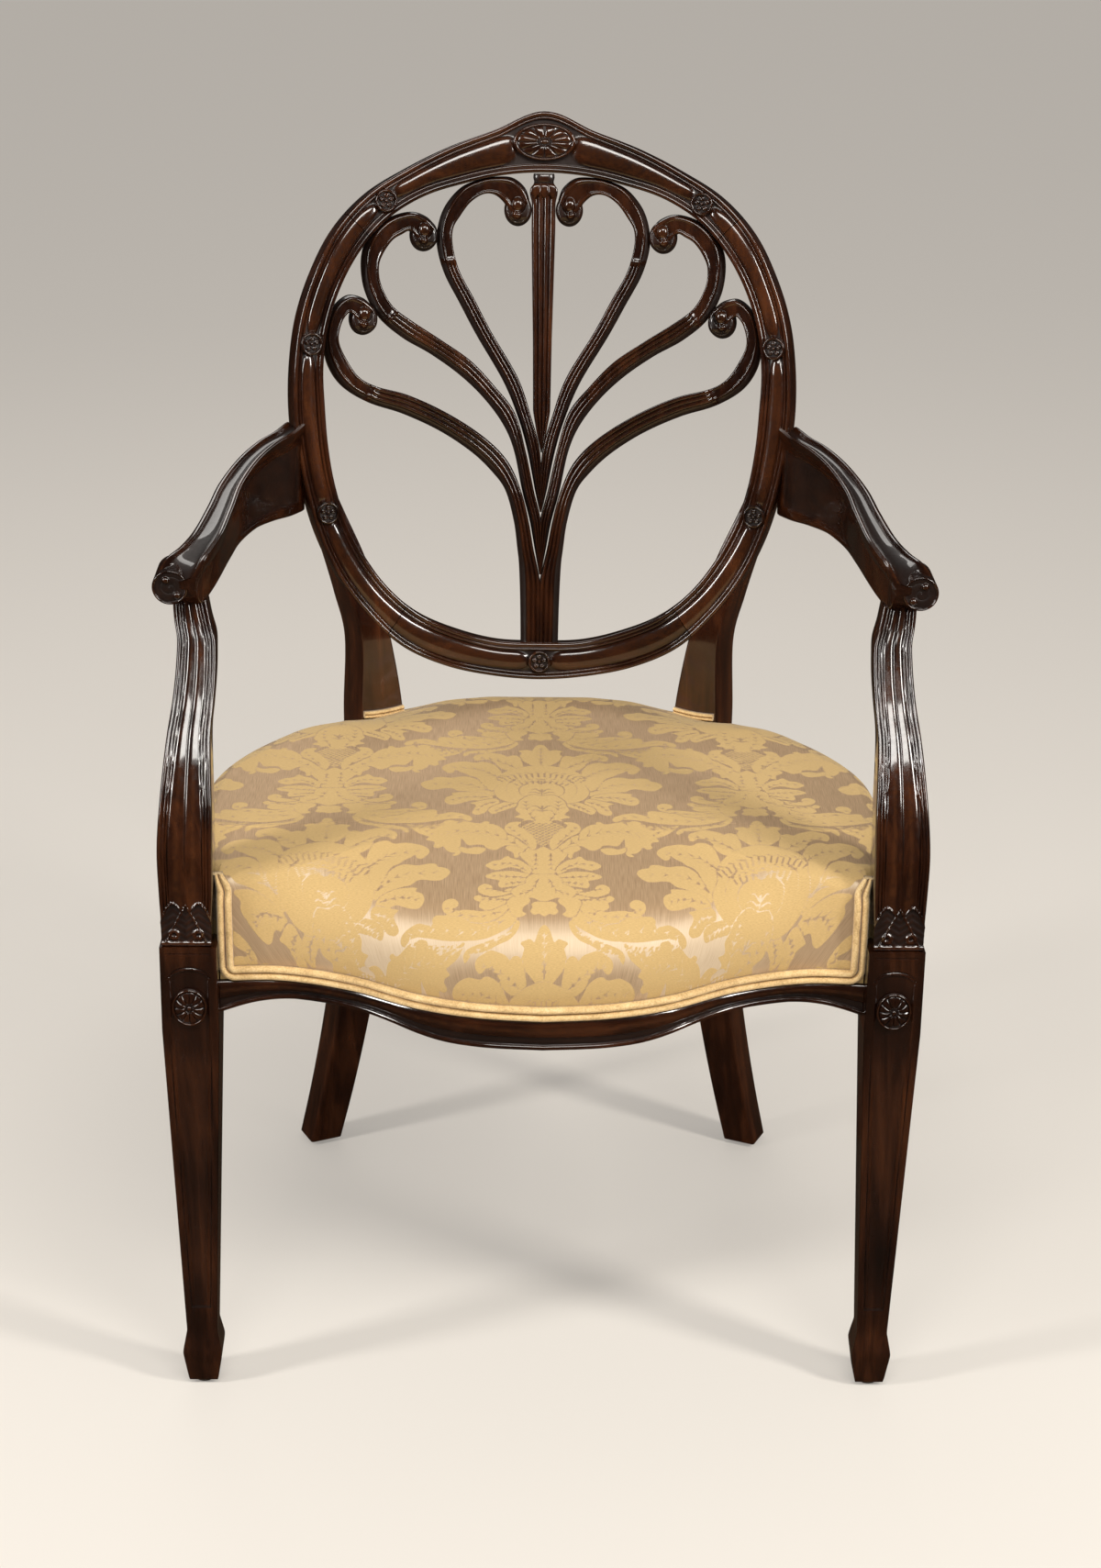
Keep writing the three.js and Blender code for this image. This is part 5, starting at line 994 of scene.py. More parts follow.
def support_skin():
    """Sections up the support: front with side beads and reeds, plain sides and back, leaves at the foot."""
    places = np.linspace(0, len(SUPPORT_TABLE) - 1, 320)
    rise, lean, sweep, width, depth = through(SUPPORT_TABLE, places, "straight").T[:, :, None]
    wide, z = width * SUPPORT_WIDE, rise * 251
    s = np.linspace(-0.5, 0.5, 71)[None]
    gap = (0.5 - np.abs(s)) * wide
    side_bead = np.maximum.reduce([round_top(gap, 1.7, 1.7), round_top(gap, 4.7, 1.2) * 0.9,
                                   round_top(gap, 7.0, 1.0) * 0.85])
    inner = np.clip(s * wide / (wide - 16.4) + 0.5, 0, 1)
    fade = 0.25 + 0.75 * smoothstep(rise, 0.17, 0.30)
    reeded = np.where(gap > 8.2, 1 - (1 - reeds(inner, 2)) * 0.8 * fade, 0)
    relief = np.maximum(side_bead, reeded)
    carved, leaf = support_collar(s, wide, z)
    front = (3.0 - 2.2 * relief + 1.6 * (1 - round_top(s, 0, 0.62))) * (1 - leaf) + leaf * carved
    band = smoothstep(z, 4.4, 3.8)
    front = front * (1 - band) + band * (1.6 - 1.6 * round_top(z, 1.9, 1.9))
    hollow = np.clip((1 - relief) * (1 - leaf) + leaf * (carved + 0.2) / 2.2, 0, 1) * (1 - band)
    # the sides and the back, in shares of the depth, with the back's corners eased
    back_y, ease = np.array([0.22, 0.6, 0.95, 1.0]) * depth * SUPPORT_WIDE, np.array([0, 0, 0.6, 2.4])
    x = np.concatenate([s * wide, wide / 2 - ease, -wide / 2 + ease[::-1]], 1) + LEG_X + lean * SUPPORT_LEAN
    y = np.concatenate([front, back_y, back_y[:, ::-1]], 1) + LEG_Y + SUPPORT_FRONT + sweep * SUPPORT_SWEEP
    rings = np.stack([x, y, SUPPORT_Z + rise * SUPPORT_TALL + 0 * x], -1)
    return skin(rings, and_then(hollow, [0.25] * 8))


make_pair("arm_support", [support_skin()], UPRIGHT)

# %% [markdown]
# ## The stuffed seat
# The seat is stuffed over its rails: the cloth is drawn down over a rolled edge, is tacked to the
# rails and hides the tacks under a double welt. It stands fullest along the front and sides and is
# pulled tight beside the legs and posts. Drawn this tight, the cloth shows no folds, so its shape
# is worked out directly: the outline of the seat is carried up through levels that draw in, as the
# CAD does it, but on a much finer grid that is pressed back from the legs and the posts.

# %% Seat surface
FOOT_Z, CROWN_Z = 370.3, 466.0
# levels up the roll: how far it is drawn in, in rolls, and the share of the crown's height
ROLL = 60
LEVELS = [[0, 0], [0, 0.115], [-0.03, 0.26], [-0.01, 0.42], [0.09, 0.58], [0.28, 0.71], [0.62, 0.82],
          [1.2, 0.9], [2.1, 0.965], [3.2, 1]]
CENTRE = np.array([0, SEAT_DEEP * 0.44])
# the front legs' inner and rear faces
LEG_INNER, LEG_REAR = LEG_X - LEG_HALF, LEG_Y + LEG_HALF


def seat_outline(inset, count):
    """Half of the seat's edge in plan from the middle of the front round to the middle of the rear."""
    x = np.linspace(0, LEG_INNER, 160)
    front = np.stack([x, front_y(x) + inset], -1)
    corner = np.array([[LEG_X + 7.5 - inset, 9.0 + inset]])
    side = side_point(np.linspace(0, 0.86, 220), inset)
    rear = np.stack([np.linspace(144.2, 0, 60), np.full(60, SEAT_DEEP - inset)], -1)
    post = np.array([[POST_X + inset / 2, SEAT_DEEP - 11.5 - inset / 2]])
    whole = np.concatenate([front, corner, side, post, rear])
    run = np.r_[0, np.cumsum(np.linalg.norm(np.diff(whole, axis=0), axis=1))]
    even = np.linspace(0, run[-1], count)
    return np.stack([np.interp(even, run, whole[:, k]) for k in range(2)], -1)


def crown_lift(plan):
    """The crown rises towards the middle of the rear and is pulled down beside the posts."""
    domed = (1 - (plan[..., 0] / SEAT_WIDE) ** 2) * smoothstep(plan[..., 1], 0, SEAT_DEEP)
    to_post = np.hypot(np.abs(plan[..., 0]) - POST_X, plan[..., 1] - POST_Y)
    return 9.5 * domed - 22 * (1 - smoothstep(to_post, 0, 115))


def outward(plan):
    """The direction from the seat's centre to each plan point."""
    away = plan - CENTRE
    return away / np.maximum(np.linalg.norm(away, axis=-1, keepdims=True), 1e-6)


def rolled(outline, inset_share, height_share, drop):
    """The edge drawn in and lifted to a level. The roll is broad along the front and tight round the sides
    and the rear, and beside legs and posts the edge stands fuller, as tight cloth does."""
    x, y = np.abs(outline[..., 0]), outline[..., 1]
    leg_open = smoothstep(np.hypot(x - LEG_INNER, y - LEG_Y), 0, 90)
    post_open = smoothstep(np.hypot(x - POST_X, y - POST_Y), 0, 90)
    least = np.where(inset_share < 0, 0, 0.18)
    drawn = least + (1 - least) * np.maximum(np.minimum(leg_open, post_open), np.clip(inset_share / 3, 0, 1))
    rear = smoothstep(y, 0.46 * SEAT_DEEP, 0.81 * SEAT_DEEP)
    drawn = drawn * (1 + smoothstep(y, 0, 0.23 * SEAT_DEEP) * (0.1 + 0.2 * rear - 1))
    plan = outline - outward(outline) * (inset_share * ROLL * drawn)[..., None]
    corner_rise = (1 - leg_open) * 14 * np.sin(math.pi * height_share) * height_share
    lift = corner_rise + crown_lift(plan) * height_share ** 2
    return plan, FOOT_Z + (CROWN_Z - drop - FOOT_Z) * height_share + lift


def pressed_back(plan, grow):
    """Points inside a leg or a post move out to the nearest face of it."""
    x, y = np.abs(plan[..., 0]), plan[..., 1]
    into_x, into_y = x - (LEG_INNER - grow), (LEG_REAR + grow) - y
    inside = (into_x > 0) & (into_y > 0) & (y > -80)
    new_x = np.where(inside & (into_x <= into_y), x - into_x, x)
    new_y = np.where(inside & (into_x > into_y), y + into_y, y)
    c, s = math.cos(POST_TURN), math.sin(POST_TURN)
    u = (new_x - POST_X) * c - (new_y - POST_Y) * s
    v = (new_x - POST_X) * s + (new_y - POST_Y) * c
    half_u, half_v = POST_WIDE / 2 + grow, POST_DEEP / 2 + grow
    gaps = np.stack([half_u - np.abs(u), v + half_v])
    inside = (gaps.min(0) > 0) & (v < half_v)
    sideways, outer = inside & (gaps[0] <= gaps[1]), inside & (u > 0)
    # a ring that meets the post's outer face ends on it, and one that meets the front face runs along that
    first = np.where(outer, v, 99).min(-1, keepdims=True)
    by_side = np.where(outer, half_u - u, 99).min(-1, keepdims=True) <= first + half_v
    u = np.where(outer & by_side, half_u, np.where(sideways & ~outer, -half_u, u))
    v = np.where(outer & by_side, first + 0.1 * (v - first),
                 np.where((outer & ~by_side) | (inside & ~sideways & ~outer), -half_v, v))
    x_out, y_out = (np.where(inside, *both) for both in zip(from_post(u, v), (new_x, new_y)))
    return np.stack([np.sign(plan[..., 0]) * x_out, y_out], -1)


def seat_rings(inset, drop, grow, count, spacing, first_place=0.0):
    """Whole rings of the seat from its foot to the centre, evenly spaced along the roll, and how far along
    the cloth each lies from the centre."""
    half = seat_outline(inset, count)
    outline = np.concatenate([half, half[-2:0:-1] * (-1, 1)])
    places = np.linspace(first_place, len(LEVELS) - 1, 600)
    drawn, risen = np.diff(through(LEVELS, places, "straight"), axis=0).T
    run = np.r_[0, np.cumsum(np.hypot(drawn * ROLL, risen * (CROWN_Z - FOOT_Z)))]
    steps = np.interp(np.linspace(0, run[-1], int(run[-1] / spacing)), run, places)
    shares = through(LEVELS, steps, "straight")
    shares[:, 1] = np.minimum(shares[:, 1], 1)
    plan, z = rolled(outline[None], shares[:, :1], shares[:, 1:], drop)
    inner = np.linspace(1, 0.004, int(190 / spacing))[1:, None, None]
    flat = CENTRE + (plan[-1:] - CENTRE) * inner
    plan = np.concatenate([plan, flat])
    z = np.concatenate([z, CROWN_Z - drop + crown_lift(flat)])
    rings = np.concatenate([pressed_back(plan, grow), z[..., None]], -1)
    between = np.linalg.norm(np.diff(np.concatenate([plan, z[..., None]], -1), axis=0), axis=-1)
    out = np.concatenate([np.cumsum(between[::-1], 0)[::-1], np.zeros((1, plan.shape[1]))])
    return rings, out


cover_rings, cloth_run = seat_rings(4.4, 0.0, 0.6, 545, 1.5)
print("seat cover grid:", cover_rings.shape)

# %% [markdown]
# ## The damask
# A damask is one cloth woven two ways: a shining satin ground, and a figure of peonies and acanthus
# in a duller weave. Seen from above the ground is the darker of the two. Where the roll turns towards
# the window, a painted highlight makes the satin nearly white while the figure stays gold. Half a motif
# is drawn: each leaf or petal is a smooth closed outline, known by the distance to it, and a new form
# cuts a thin line of ground round itself in the ones below. Veins are strokes of ground. The distances
# are kept on a fine lattice, and folding the cloth's coordinates onto it repeats the motif.

# %% Outlines of the figure
# Right half of one motif in millimetres from its axis and its middle; what comes later lies on top
MOTIF = [
    # crown and leaves of the peony
    [[0, 67], [4, 63], [6, 57], [8, 52], [11, 55], [15, 54], [19, 52], [16, 48], [17, 44], [18, 39],
     [16, 32], [12, 26], [7, 20], [0, 19]],
    [[17, 33], [18, 38], [21, 42], [25, 42], [28, 39], [31, 43], [37, 46], [43, 48], [48, 46], [53, 44],
     [56, 41], [57, 36], [55, 31], [52, 31], [48, 34], [44, 32], [41, 30], [38, 25], [37, 21], [33, 14],
     [25, 8], [18, 11], [15, 20]],
    [[37, 18], [40, 23], [45, 27], [50, 28], [54, 26], [58, 27], [64, 29], [70, 28], [75, 26], [79, 23],
     [82, 19], [83, 14], [81, 9], [77, 4], [73, 6], [72, 12], [70, 9], [67, 6], [63, 3], [59, -2], [55, -4],
     [52, -8], [49, -15], [46, -24], [39, -36], [34, -19], [33, -6], [33, 6]],
    [[45, -29], [49, -18], [53, -10], [58, -5], [63, -3], [69, -4], [74, -6], [79, -5], [84, -4], [89, -6],
     [90, -10], [95, -12], [99, -16], [100, -21], [97, -27], [92, -31], [85, -30], [80, -28], [74, -28],
     [69, -33], [62, -34], [57, -36], [50, -42], [43, -46], [38, -38]],
    [[43, -42], [56, -36], [67, -36], [74, -38], [73, -42], [78, -46], [80, -52], [79, -58], [75, -62],
     [68, -60], [62, -56], [56, -53], [47, -56], [39, -53]],
    [[39, -49], [54, -56], [59, -59], [55, -62], [55, -67], [57, -73], [57, -78], [53, -80], [47, -76],
     [45, -71], [42, -66], [35, -58]],
    [[28, -56], [34, -59], [40, -64], [44, -70], [43, -76], [40, -79], [36, -76], [31, -72], [25, -68],
     [20, -64], [21, -57]],
    # its heart, and the calyx under it
    [[0, 21], [10, 19], [20, 14], [30, 6], [35, -6], [35, -19], [39, -34], [36, -48], [28, -56], [19, -58],
     [9, -50], [0, -46]],
    [[0, -43], [9, -41], [18, -53], [20, -64], [22, -72], [18, -80], [23, -85], [19, -87], [15, -90],
     [17, -94], [12, -91], [8, -92], [6, -96], [0, -97]],
    # cup under the calyx, acanthus beside it
    [[30, -101], [31, -107], [29, -114], [24, -119], [19, -125], [15, -132], [11, -139], [7, -144],
     [5, -133], [8, -122], [11, -115], [17, -107], [20, -101], [17, -95], [22, -94], [27, -96]],
    [[11, -141], [17, -132], [23, -122], [29, -117], [31, -110], [35, -103], [40, -98], [44, -97],
     [43, -94], [47, -92], [50, -96], [55, -95], [62, -92], [67, -94], [69, -97], [71, -91], [75, -90],
     [80, -93], [79, -98], [83, -100], [87, -105], [91, -110], [88, -113], [91, -117], [94, -123],
     [89, -125], [87, -128], [88, -134], [84, -137], [80, -134], [78, -140], [74, -145], [70, -146],
     [73, -150], [69, -151], [66, -146], [66, -134], [66, -127], [66, -121], [63, -128], [61, -133],
     [58, -135], [54, -134], [48, -135], [46, -139], [42, -143], [38, -144], [35, -141], [31, -137],
     [26, -136], [21, -140], [16, -145], [13, -143]],
    [[46, -141], [54, -138], [60, -140], [66, -136], [66, -143], [63, -147], [58, -149], [52, -150],
     [48, -147]],
    [[15, -146], [21, -139], [28, -137], [30, -141], [28, -145], [24, -149], [23, -157], [20, -156],
     [18, -150]],
    # bloom below, and its sweeping leaves
    [[0, -139], [7, -145], [12, -141], [15, -148], [19, -150], [17, -158], [12, -167], [10, -177],
     [7, -184], [0, -186]],
    [[63, -256], [70, -259], [77, -261], [85, -263], [89, -267], [93, -273], [93, -278], [87, -276],
     [78, -272], [71, -268], [66, -262]],
    [[22, -240], [26, -249], [36, -255], [46, -258], [59, -261], [64, -264], [66, -268], [65, -273],
     [62, -270], [58, -267], [51, -266], [43, -264], [36, -261], [28, -258], [22, -252], [19, -244]],
    [[26, -230], [33, -234], [39, -239], [45, -242], [52, -241], [58, -239], [62, -235], [69, -232],
     [79, -230], [85, -229], [88, -232], [88, -237], [93, -236], [99, -233], [106, -234], [111, -236],
     [115, -239], [117, -244], [115, -248], [111, -246], [108, -244], [102, -244], [96, -246], [88, -249],
     [80, -252], [72, -254], [63, -255], [54, -256], [44, -255], [34, -251], [26, -246], [22, -240],
     [21, -235]],
    [[27, -226], [29, -223], [34, -226], [41, -230], [49, -230], [57, -228], [63, -227], [69, -227],
     [72, -225], [68, -223], [67, -219], [69, -215], [73, -213], [78, -215], [80, -220], [79, -226],
     [75, -230], [70, -232], [65, -233], [62, -235], [58, -239], [52, -241], [45, -241], [38, -239],
     [32, -234]],
    [[30, -213], [38, -215], [46, -214], [51, -211], [55, -213], [54, -217], [50, -220], [51, -225],
     [46, -229], [39, -228], [33, -224], [28, -221], [24, -216], [22, -211]],
    [[24, -203], [29, -204], [34, -206], [38, -205], [41, -199], [46, -196], [50, -198], [52, -202],
     [51, -207], [48, -210], [42, -213], [35, -213], [29, -211], [24, -208]],
    [[10, -175], [14, -167], [19, -161], [25, -158], [29, -154], [34, -160], [39, -161], [43, -164],
     [46, -168], [44, -172], [38, -176], [32, -174], [27, -172], [21, -174], [16, -179], [11, -182]],
    [[10, -185], [16, -181], [24, -178], [32, -178], [39, -179], [42, -181], [46, -184], [44, -188],
     [39, -190], [35, -192], [36, -197], [34, -202], [28, -201], [22, -200], [16, -199], [11, -192]],
    [[0, -184], [8, -183], [13, -188], [14, -196], [20, -200], [25, -206], [24, -212], [18, -217],
     [10, -216], [0, -221]],
    [[11, -218], [15, -216], [20, -216], [25, -215], [29, -220], [28, -226], [26, -232], [24, -236],
     [19, -238], [14, -235], [17, -232], [16, -227], [12, -223]],
    [[0, -222], [6, -221], [10, -224], [9, -228], [11, -232], [8, -236], [4, -235], [0, -238]]]
# Veins: the middle line of a form, how many side veins leave it and how long the longest is
VEINS = [
    ([[0, 24], [0, 60]], 5, 7), ([[22, 16], [36, 30], [53, 38]], 5, 8),
    ([[36, -4], [52, 12], [78, 16]], 6, 9), ([[42, -34], [62, -18], [94, -20]], 6, 9),
    ([[44, -46], [62, -46], [76, -54]], 5, 7), ([[38, -56], [48, -62], [54, -74]], 4, 5),
    ([[24, -60], [32, -66], [40, -75]], 4, 5), ([[6, -92], [13, -70], [13, -52]], 5, 6),
    ([[12, -134], [22, -114], [28, -102]], 4, 4), ([[20, -136], [40, -116], [66, -108], [86, -116]], 9, 12),
    ([[6, -150], [6, -178]], 4, 5), ([[66, -260], [80, -266], [91, -276]], 5, 3),
    ([[26, -252], [46, -261], [63, -268]], 5, 3), ([[30, -240], [56, -249], [88, -241], [112, -241]], 8, 7),
    ([[34, -232], [52, -235], [70, -229], [77, -221]], 6, 4), ([[28, -218], [50, -216]], 4, 5),
    ([[28, -208], [46, -202]], 4, 4), ([[14, -177], [26, -166], [42, -168]], 5, 5),
    ([[14, -188], [28, -186], [42, -184]], 5, 5), ([[16, -194], [32, -197]], 3, 4),
    ([[4, -190], [10, -206], [20, -211]], 5, 5)]
# Strokes in the peony's heart: three-fingered marks and the lines between its petals
HEART_MARKS = [
    [[0, -30], [0, -42]], [[1, -34], [5, -29], [8, -30]], [[2, -38], [7, -35], [11, -37]],
    [[0, -12], [0, -20]], [[1, -17], [6, -13], [10, -14]], [[12, -18], [18, -26], [18, -38], [12, -46]],
    [[20, -8], [27, -18], [29, -34], [24, -50]], [[0, -64], [0, -76]], [[1, -70], [5, -64], [9, -64]],
    [[1, -74], [6, -72], [9, -74]]]

# Edges of the net in the cup and of the field of small rings under the lowest leaf
NET_EDGE = [[0, -94], [9, -95], [17, -103], [15, -111], [11, -115], [8, -122], [5, -132], [0, -138]]
RINGED_EDGE = [[64, -257], [80, -256], [96, -250], [108, -247], [113, -250], [104, -257], [104, -264],
               [95, -270], [88, -264], [77, -260]]
print(len(MOTIF), "outlines,", len(VEINS), "veins")


# %% Drawing with distances
LATTICE, LATTICE_LOW, LATTICE_HIGH, FAR = 0.6, np.array([0.0, -290.0]), np.array([124.0, 76.0]), 99.0
lattice_x, lattice_y = np.meshgrid(*(np.arange(a, b, LATTICE) for a, b in zip(LATTICE_LOW, LATTICE_HIGH)),
                                   indexing="ij")


def closed_curve(points):
    """A smooth closed curve through the points; a form that starts on the axis is first mirrored over it."""
    points = np.array(points, float)
    if points[0, 0] == 0:
        points = np.concatenate([points, points[::-1] * (-1, 1)])
        points = points[np.r_[True, np.abs(np.diff(points, axis=0)).sum(1) > 0]][:-1]
    longer = np.concatenate([points[-1:], points, points[:2]])
    return through(longer, 1 + np.arange(4 * len(points)) / 4)


def outside(x, y, curve):
    """Distance to a closed curve, negative inside, where an odd number of edges lie straight to the right."""
    least, odd = np.full(x.shape, FAR), np.zeros(x.shape, bool)
    for (ax, ay), (bx, by) in zip(curve, np.roll(curve, -1, 0)):
        run_x, run_y = bx - ax, by - ay
        share = np.clip(((x - ax) * run_x + (y - ay) * run_y) / (run_x ** 2 + run_y ** 2 + 1e-9), 0, 1)
        least = np.minimum(least, np.hypot(x - ax - share * run_x, y - ay - share * run_y))
        if ay != by:
            odd ^= ((ay > y) != (by > y)) & (x < ax + (y - ay) * run_x / run_y)
    return np.where(odd, -least, least)


def beside(points):
    """The lattice points up to 3 mm outside the box round some points."""
    low, high = np.min(points, 0) - 3, np.max(points, 0) + 3
    return (lattice_x > low[0]) & (lattice_x < high[0]) & (lattice_y > low[1]) & (lattice_y < high[1])


def stroke(figure, spine, width):
    """A line of ground drawn through the figure along a spine, thinner towards its end."""
    seen = beside(spine)
    x, y, least = lattice_x[seen], lattice_y[seen], np.full(seen.sum(), FAR)
    for share in np.linspace(0, 1, 30):
        at = spline(spine, np.array(share))
        least = np.minimum(least, np.hypot(x - at[0], y - at[1]) - width * (1 - 0.6 * share))
    figure[seen] = np.maximum(figure[seen], -least)


def veined(figure, spine, count, length):
    """The middle vein of a form and side veins that leave it forwards on both sides."""
    stroke(figure, spine, 0.75)
    for k in range(count):
        share = (k + 0.6) / (count + 0.6)
        at, ahead = spline(spine, np.array(share)), spline(spine, np.array(min(share + 0.05, 1)))
        way = (ahead - at) / np.linalg.norm(ahead - at)
        reach = length * math.sin(math.pi * (0.25 + 0.6 * share))
        for hand in (-1, 1):
            over = np.array([-way[1], way[0]]) * hand
            bend, end = at + reach * (0.55 * way + 0.4 * over), at + reach * 0.85 * (way + over)
            stroke(figure, [at, bend, end], 0.6)


def draw_motif():
    """The half motif on its lattice: below 0 is figure, above 0 is ground."""
    figure = np.full(lattice_x.shape, FAR)
    for points in MOTIF:
        curve = closed_curve(points)
        seen = beside(curve)
        form = outside(lattice_x[seen], lattice_y[seen], curve)
        figure[seen] = np.minimum(np.maximum(figure[seen], 1.0 - form), form)
    for spine, count, length in VEINS:
        veined(figure, spine, count, length)
    for spine in HEART_MARKS:
        stroke(figure, spine, 0.9)
    # two rings of ticks round the heart of the bloom below, under a scalloped line
    arc, angle = np.hypot(lattice_x, lattice_y + 62), np.arctan2(lattice_x, lattice_y + 62)
    for radius, high, step, reach in ((61, 4.2, 0.078, 0.60), (48, 3.2, 0.10, 0.52)):
        ticks = np.abs(np.mod(angle / step, 1) - 0.5) * step * arc - 0.9
        scallops = np.abs(arc - radius - 6 + 1.4 * np.sin(angle * 60)) - 0.6
        ticks = np.minimum(np.maximum(ticks, np.abs(arc - radius) - high), scallops)
        near = (np.abs(arc - radius - 1) < 8) & (angle < reach)
        figure = np.where(near, np.maximum(figure, -ticks), figure)
    net = outside(lattice_x, lattice_y, closed_curve(NET_EDGE))
    slants = (np.abs(np.mod(lattice_x + sign * lattice_y, 5) - 2.5) for sign in (1, -1))
    figure = np.minimum(figure, np.maximum(net, np.minimum(*slants) - 0.8))
    ringed = outside(lattice_x, lattice_y, closed_curve(RINGED_EDGE))
    cell_y = np.mod(lattice_y + 2.8 * np.floor(lattice_x / 5.6), 5.6) - 2.8
    cell = np.hypot(np.mod(lattice_x, 5.6) - 2.8, cell_y)
    return np.minimum(figure, np.maximum(ringed, np.abs(cell - 1.6) - 0.75))


MOTIF_FIELD = draw_motif()
print("half motif drawn on", MOTIF_FIELD.shape)


def sampled(x, y):
    """The half motif at any point, by mixing the four lattice points round it; ground outside the lattice."""
    place = (np.stack([x, y], -1) - LATTICE_LOW) / LATTICE
    size = np.array(MOTIF_FIELD.shape)
    inside = ((place >= 0) & (place < size - 1)).all(-1)
    i = np.clip(place.astype(int), 0, size - 2)
    f, g = np.moveaxis(place - i, -1, 0)
    a, b = MOTIF_FIELD[i[..., 0], i[..., 1]], MOTIF_FIELD[i[..., 0] + 1, i[..., 1]]
    c, d = MOTIF_FIELD[i[..., 0], i[..., 1] + 1], MOTIF_FIELD[i[..., 0] + 1, i[..., 1] + 1]
    return np.where(inside, (a * (1 - f) + b * f) * (1 - g) + (c * (1 - f) + d * f) * g, FAR)


# %% The repeat
COLUMN, REPEAT, MOTIF_Y, FOLD_LOW = 174, 313, 199, -246


def damask(x, y):
    """The folded cloth: columns side by side, every other one dropped half a repeat."""
    nearest = np.round(x / COLUMN)
    least = np.full(x.shape, FAR)
    for column in (nearest, nearest + np.where(x > nearest * COLUMN, 1, -1)):
        drop = np.where(np.mod(column, 2) == 1, -REPEAT / 2, 0.0)
        at = np.mod(y - MOTIF_Y - drop - FOLD_LOW, REPEAT) + FOLD_LOW
        for other in (at, at - REPEAT, at + REPEAT):
            least = np.minimum(least, sampled(np.abs(x - column * COLUMN), other))
    return least


cloth = CENTRE + outward(cover_rings[..., :2]) * cloth_run[..., None]
figure = np.clip(damask(cloth[..., 0], cloth[..., 1]), -4, 4)
print("damask covers", round(float((figure < 0).mean()), 2), "of the cloth")


# %% Cover
def shell_of(rings, thickness):
    """The inside of a cloth: coarser rings from the middle to the edge, a thickness under the outer ones."""
    inner = rings[::-6].copy()
    away = outward(inner[..., :2])
    steep = np.clip(1 - (inner[..., 2:] - FOOT_Z) / 90, 0, 1)
    inner[..., :2] -= away * thickness * (0.3 + 0.7 * steep)
    inner[..., 2:] -= thickness * (1 - steep)
    inner[-1, :, :2] = rings[0, :, :2] - away[-1] * thickness
    inner[-1, :, 2] = FOOT_Z
    return inner


# from the middle out to the edge, and inside from the edge back to the middle: both ends are the middle
inner = shell_of(cover_rings, 2.0)[::-1]
closed_cover = skin(np.concatenate([cover_rings[::-1], inner]))
of_cloth = {"figure": np.r_[figure[::-1].ravel(), np.full(inner[..., 0].size + 2, 4.0)]}
for k, label in enumerate(("cloth_x", "cloth_y")):
    of_cloth[label] = np.r_[cloth[::-1, :, k].ravel(), inner[..., k].ravel(), [CENTRE[k]] * 2] * MM

# %% Damask material
PAINTED_SATIN_FLASH, BUMP_DEPTH = (0.62, 0.49, 0.335, 1), 0.0004
damask_cloth, tree, shader = plain_material("damask")
on_cloth = add(tree, "ShaderNodeCombineXYZ", {"X": attribute(tree, "cloth_x"),
                                              "Y": attribute(tree, "cloth_y")}).outputs[0]
ragged = maths(tree, "SUBTRACT", noise(tree, on_cloth, 900, 1), 0.5)
soft_edge = maths(tree, "ADD", attribute(tree, "figure"), maths(tree, "MULTIPLY", ragged, 0.5))
in_figure = remap(tree, soft_edge, 0.22, -0.22)
threads = noise(tree, stretched(tree, on_cloth, (1900, 55, 1)), 1.0, 2)
cross = noise(tree, stretched(tree, on_cloth, (420, 2200, 1)), 1.0, 1)
ground = ramp(tree, threads, [(0.30, (0.420, 0.270, 0.150)), (0.52, (0.540, 0.360, 0.205)),
                              (0.75, (0.640, 0.440, 0.262))])
gold = ramp(tree, cross, [(0.30, (0.470, 0.315, 0.125)), (0.70, (0.570, 0.385, 0.162))])
# painted highlight: where the front roll turns over and faces forward, the satin ground is painted pale by
# the direction it faces, as its long threads would flash towards the light
facing = add(tree, "ShaderNodeSeparateXYZ", {0: add(tree, "ShaderNodeNewGeometry").outputs["Normal"]})
forward = maths(tree, "MULTIPLY", facing.outputs[1], -1.0)
painted_flash = ramp(tree, forward, [(0.40, (0, 0, 0)), (0.68, (0.9, 0.9, 0.9)), (0.86, (0.9, 0.9, 0.9)),
                                (0.98, (0.2, 0.2, 0.2))], "EASE")
painted_flash = maths(tree, "MULTIPLY", painted_flash, remap(tree, threads, 0.3, 0.7, 0.72, 1.0))
ground = mix(tree, painted_flash, ground, PAINTED_SATIN_FLASH)
# the painted highlight also takes away most of the ground's metallic mirroring
metal = remap(tree, in_figure, 0, 1, 0.45, 0.0)
metal = maths(tree, "MULTIPLY", metal, remap(tree, painted_flash, 0, 1, 1.0, 0.15))
relief = blend(tree, in_figure, 0.8, threads, 0.5)
relief = maths(tree, "ADD", relief, maths(tree, "MULTIPLY", cross, 0.35))
fill(tree, shader, {
    "Base Color": mix(tree, in_figure, ground, gold), "Metallic": metal,
    "Roughness": remap(tree, in_figure, 0, 1, 0.5, 0.85), "Normal": bumped(tree, relief, 0.22, BUMP_DEPTH),
    "Sheen Weight": 0.15, "Sheen Roughness": 0.4, "Sheen Tint": (1, 0.9, 0.7, 1)})

cover = make_piece("damask_cover", [closed_cover], damask_cloth, ["seat_cover"], "damask",
                   attributes=of_cloth)

# %% [markdown]
# Under the cloth lie the stuffing and the webbing that carries it. They hardly show, but the seat
# would be empty without them. The webbing is strapped both ways over and under.

# %% Plain finishes
def patterned(name, pattern, dark, light, roughness, strength, distance, low=0.3, high=0.7):
    """A rough material whose one pattern, a function of the tree and the place, mixes a dark and a light
    colour between low and high, and raises the surface."""
    made, tree, shader = plain_material(name)
    seen = pattern(tree, object_place(tree))
    fill(tree, shader, {"Base Color": ramp(tree, seen, [(low, dark), (high, light)]), "Roughness": roughness,
                        "Normal": bumped(tree, seen, strength, distance)})
    print("material", name)
    return made


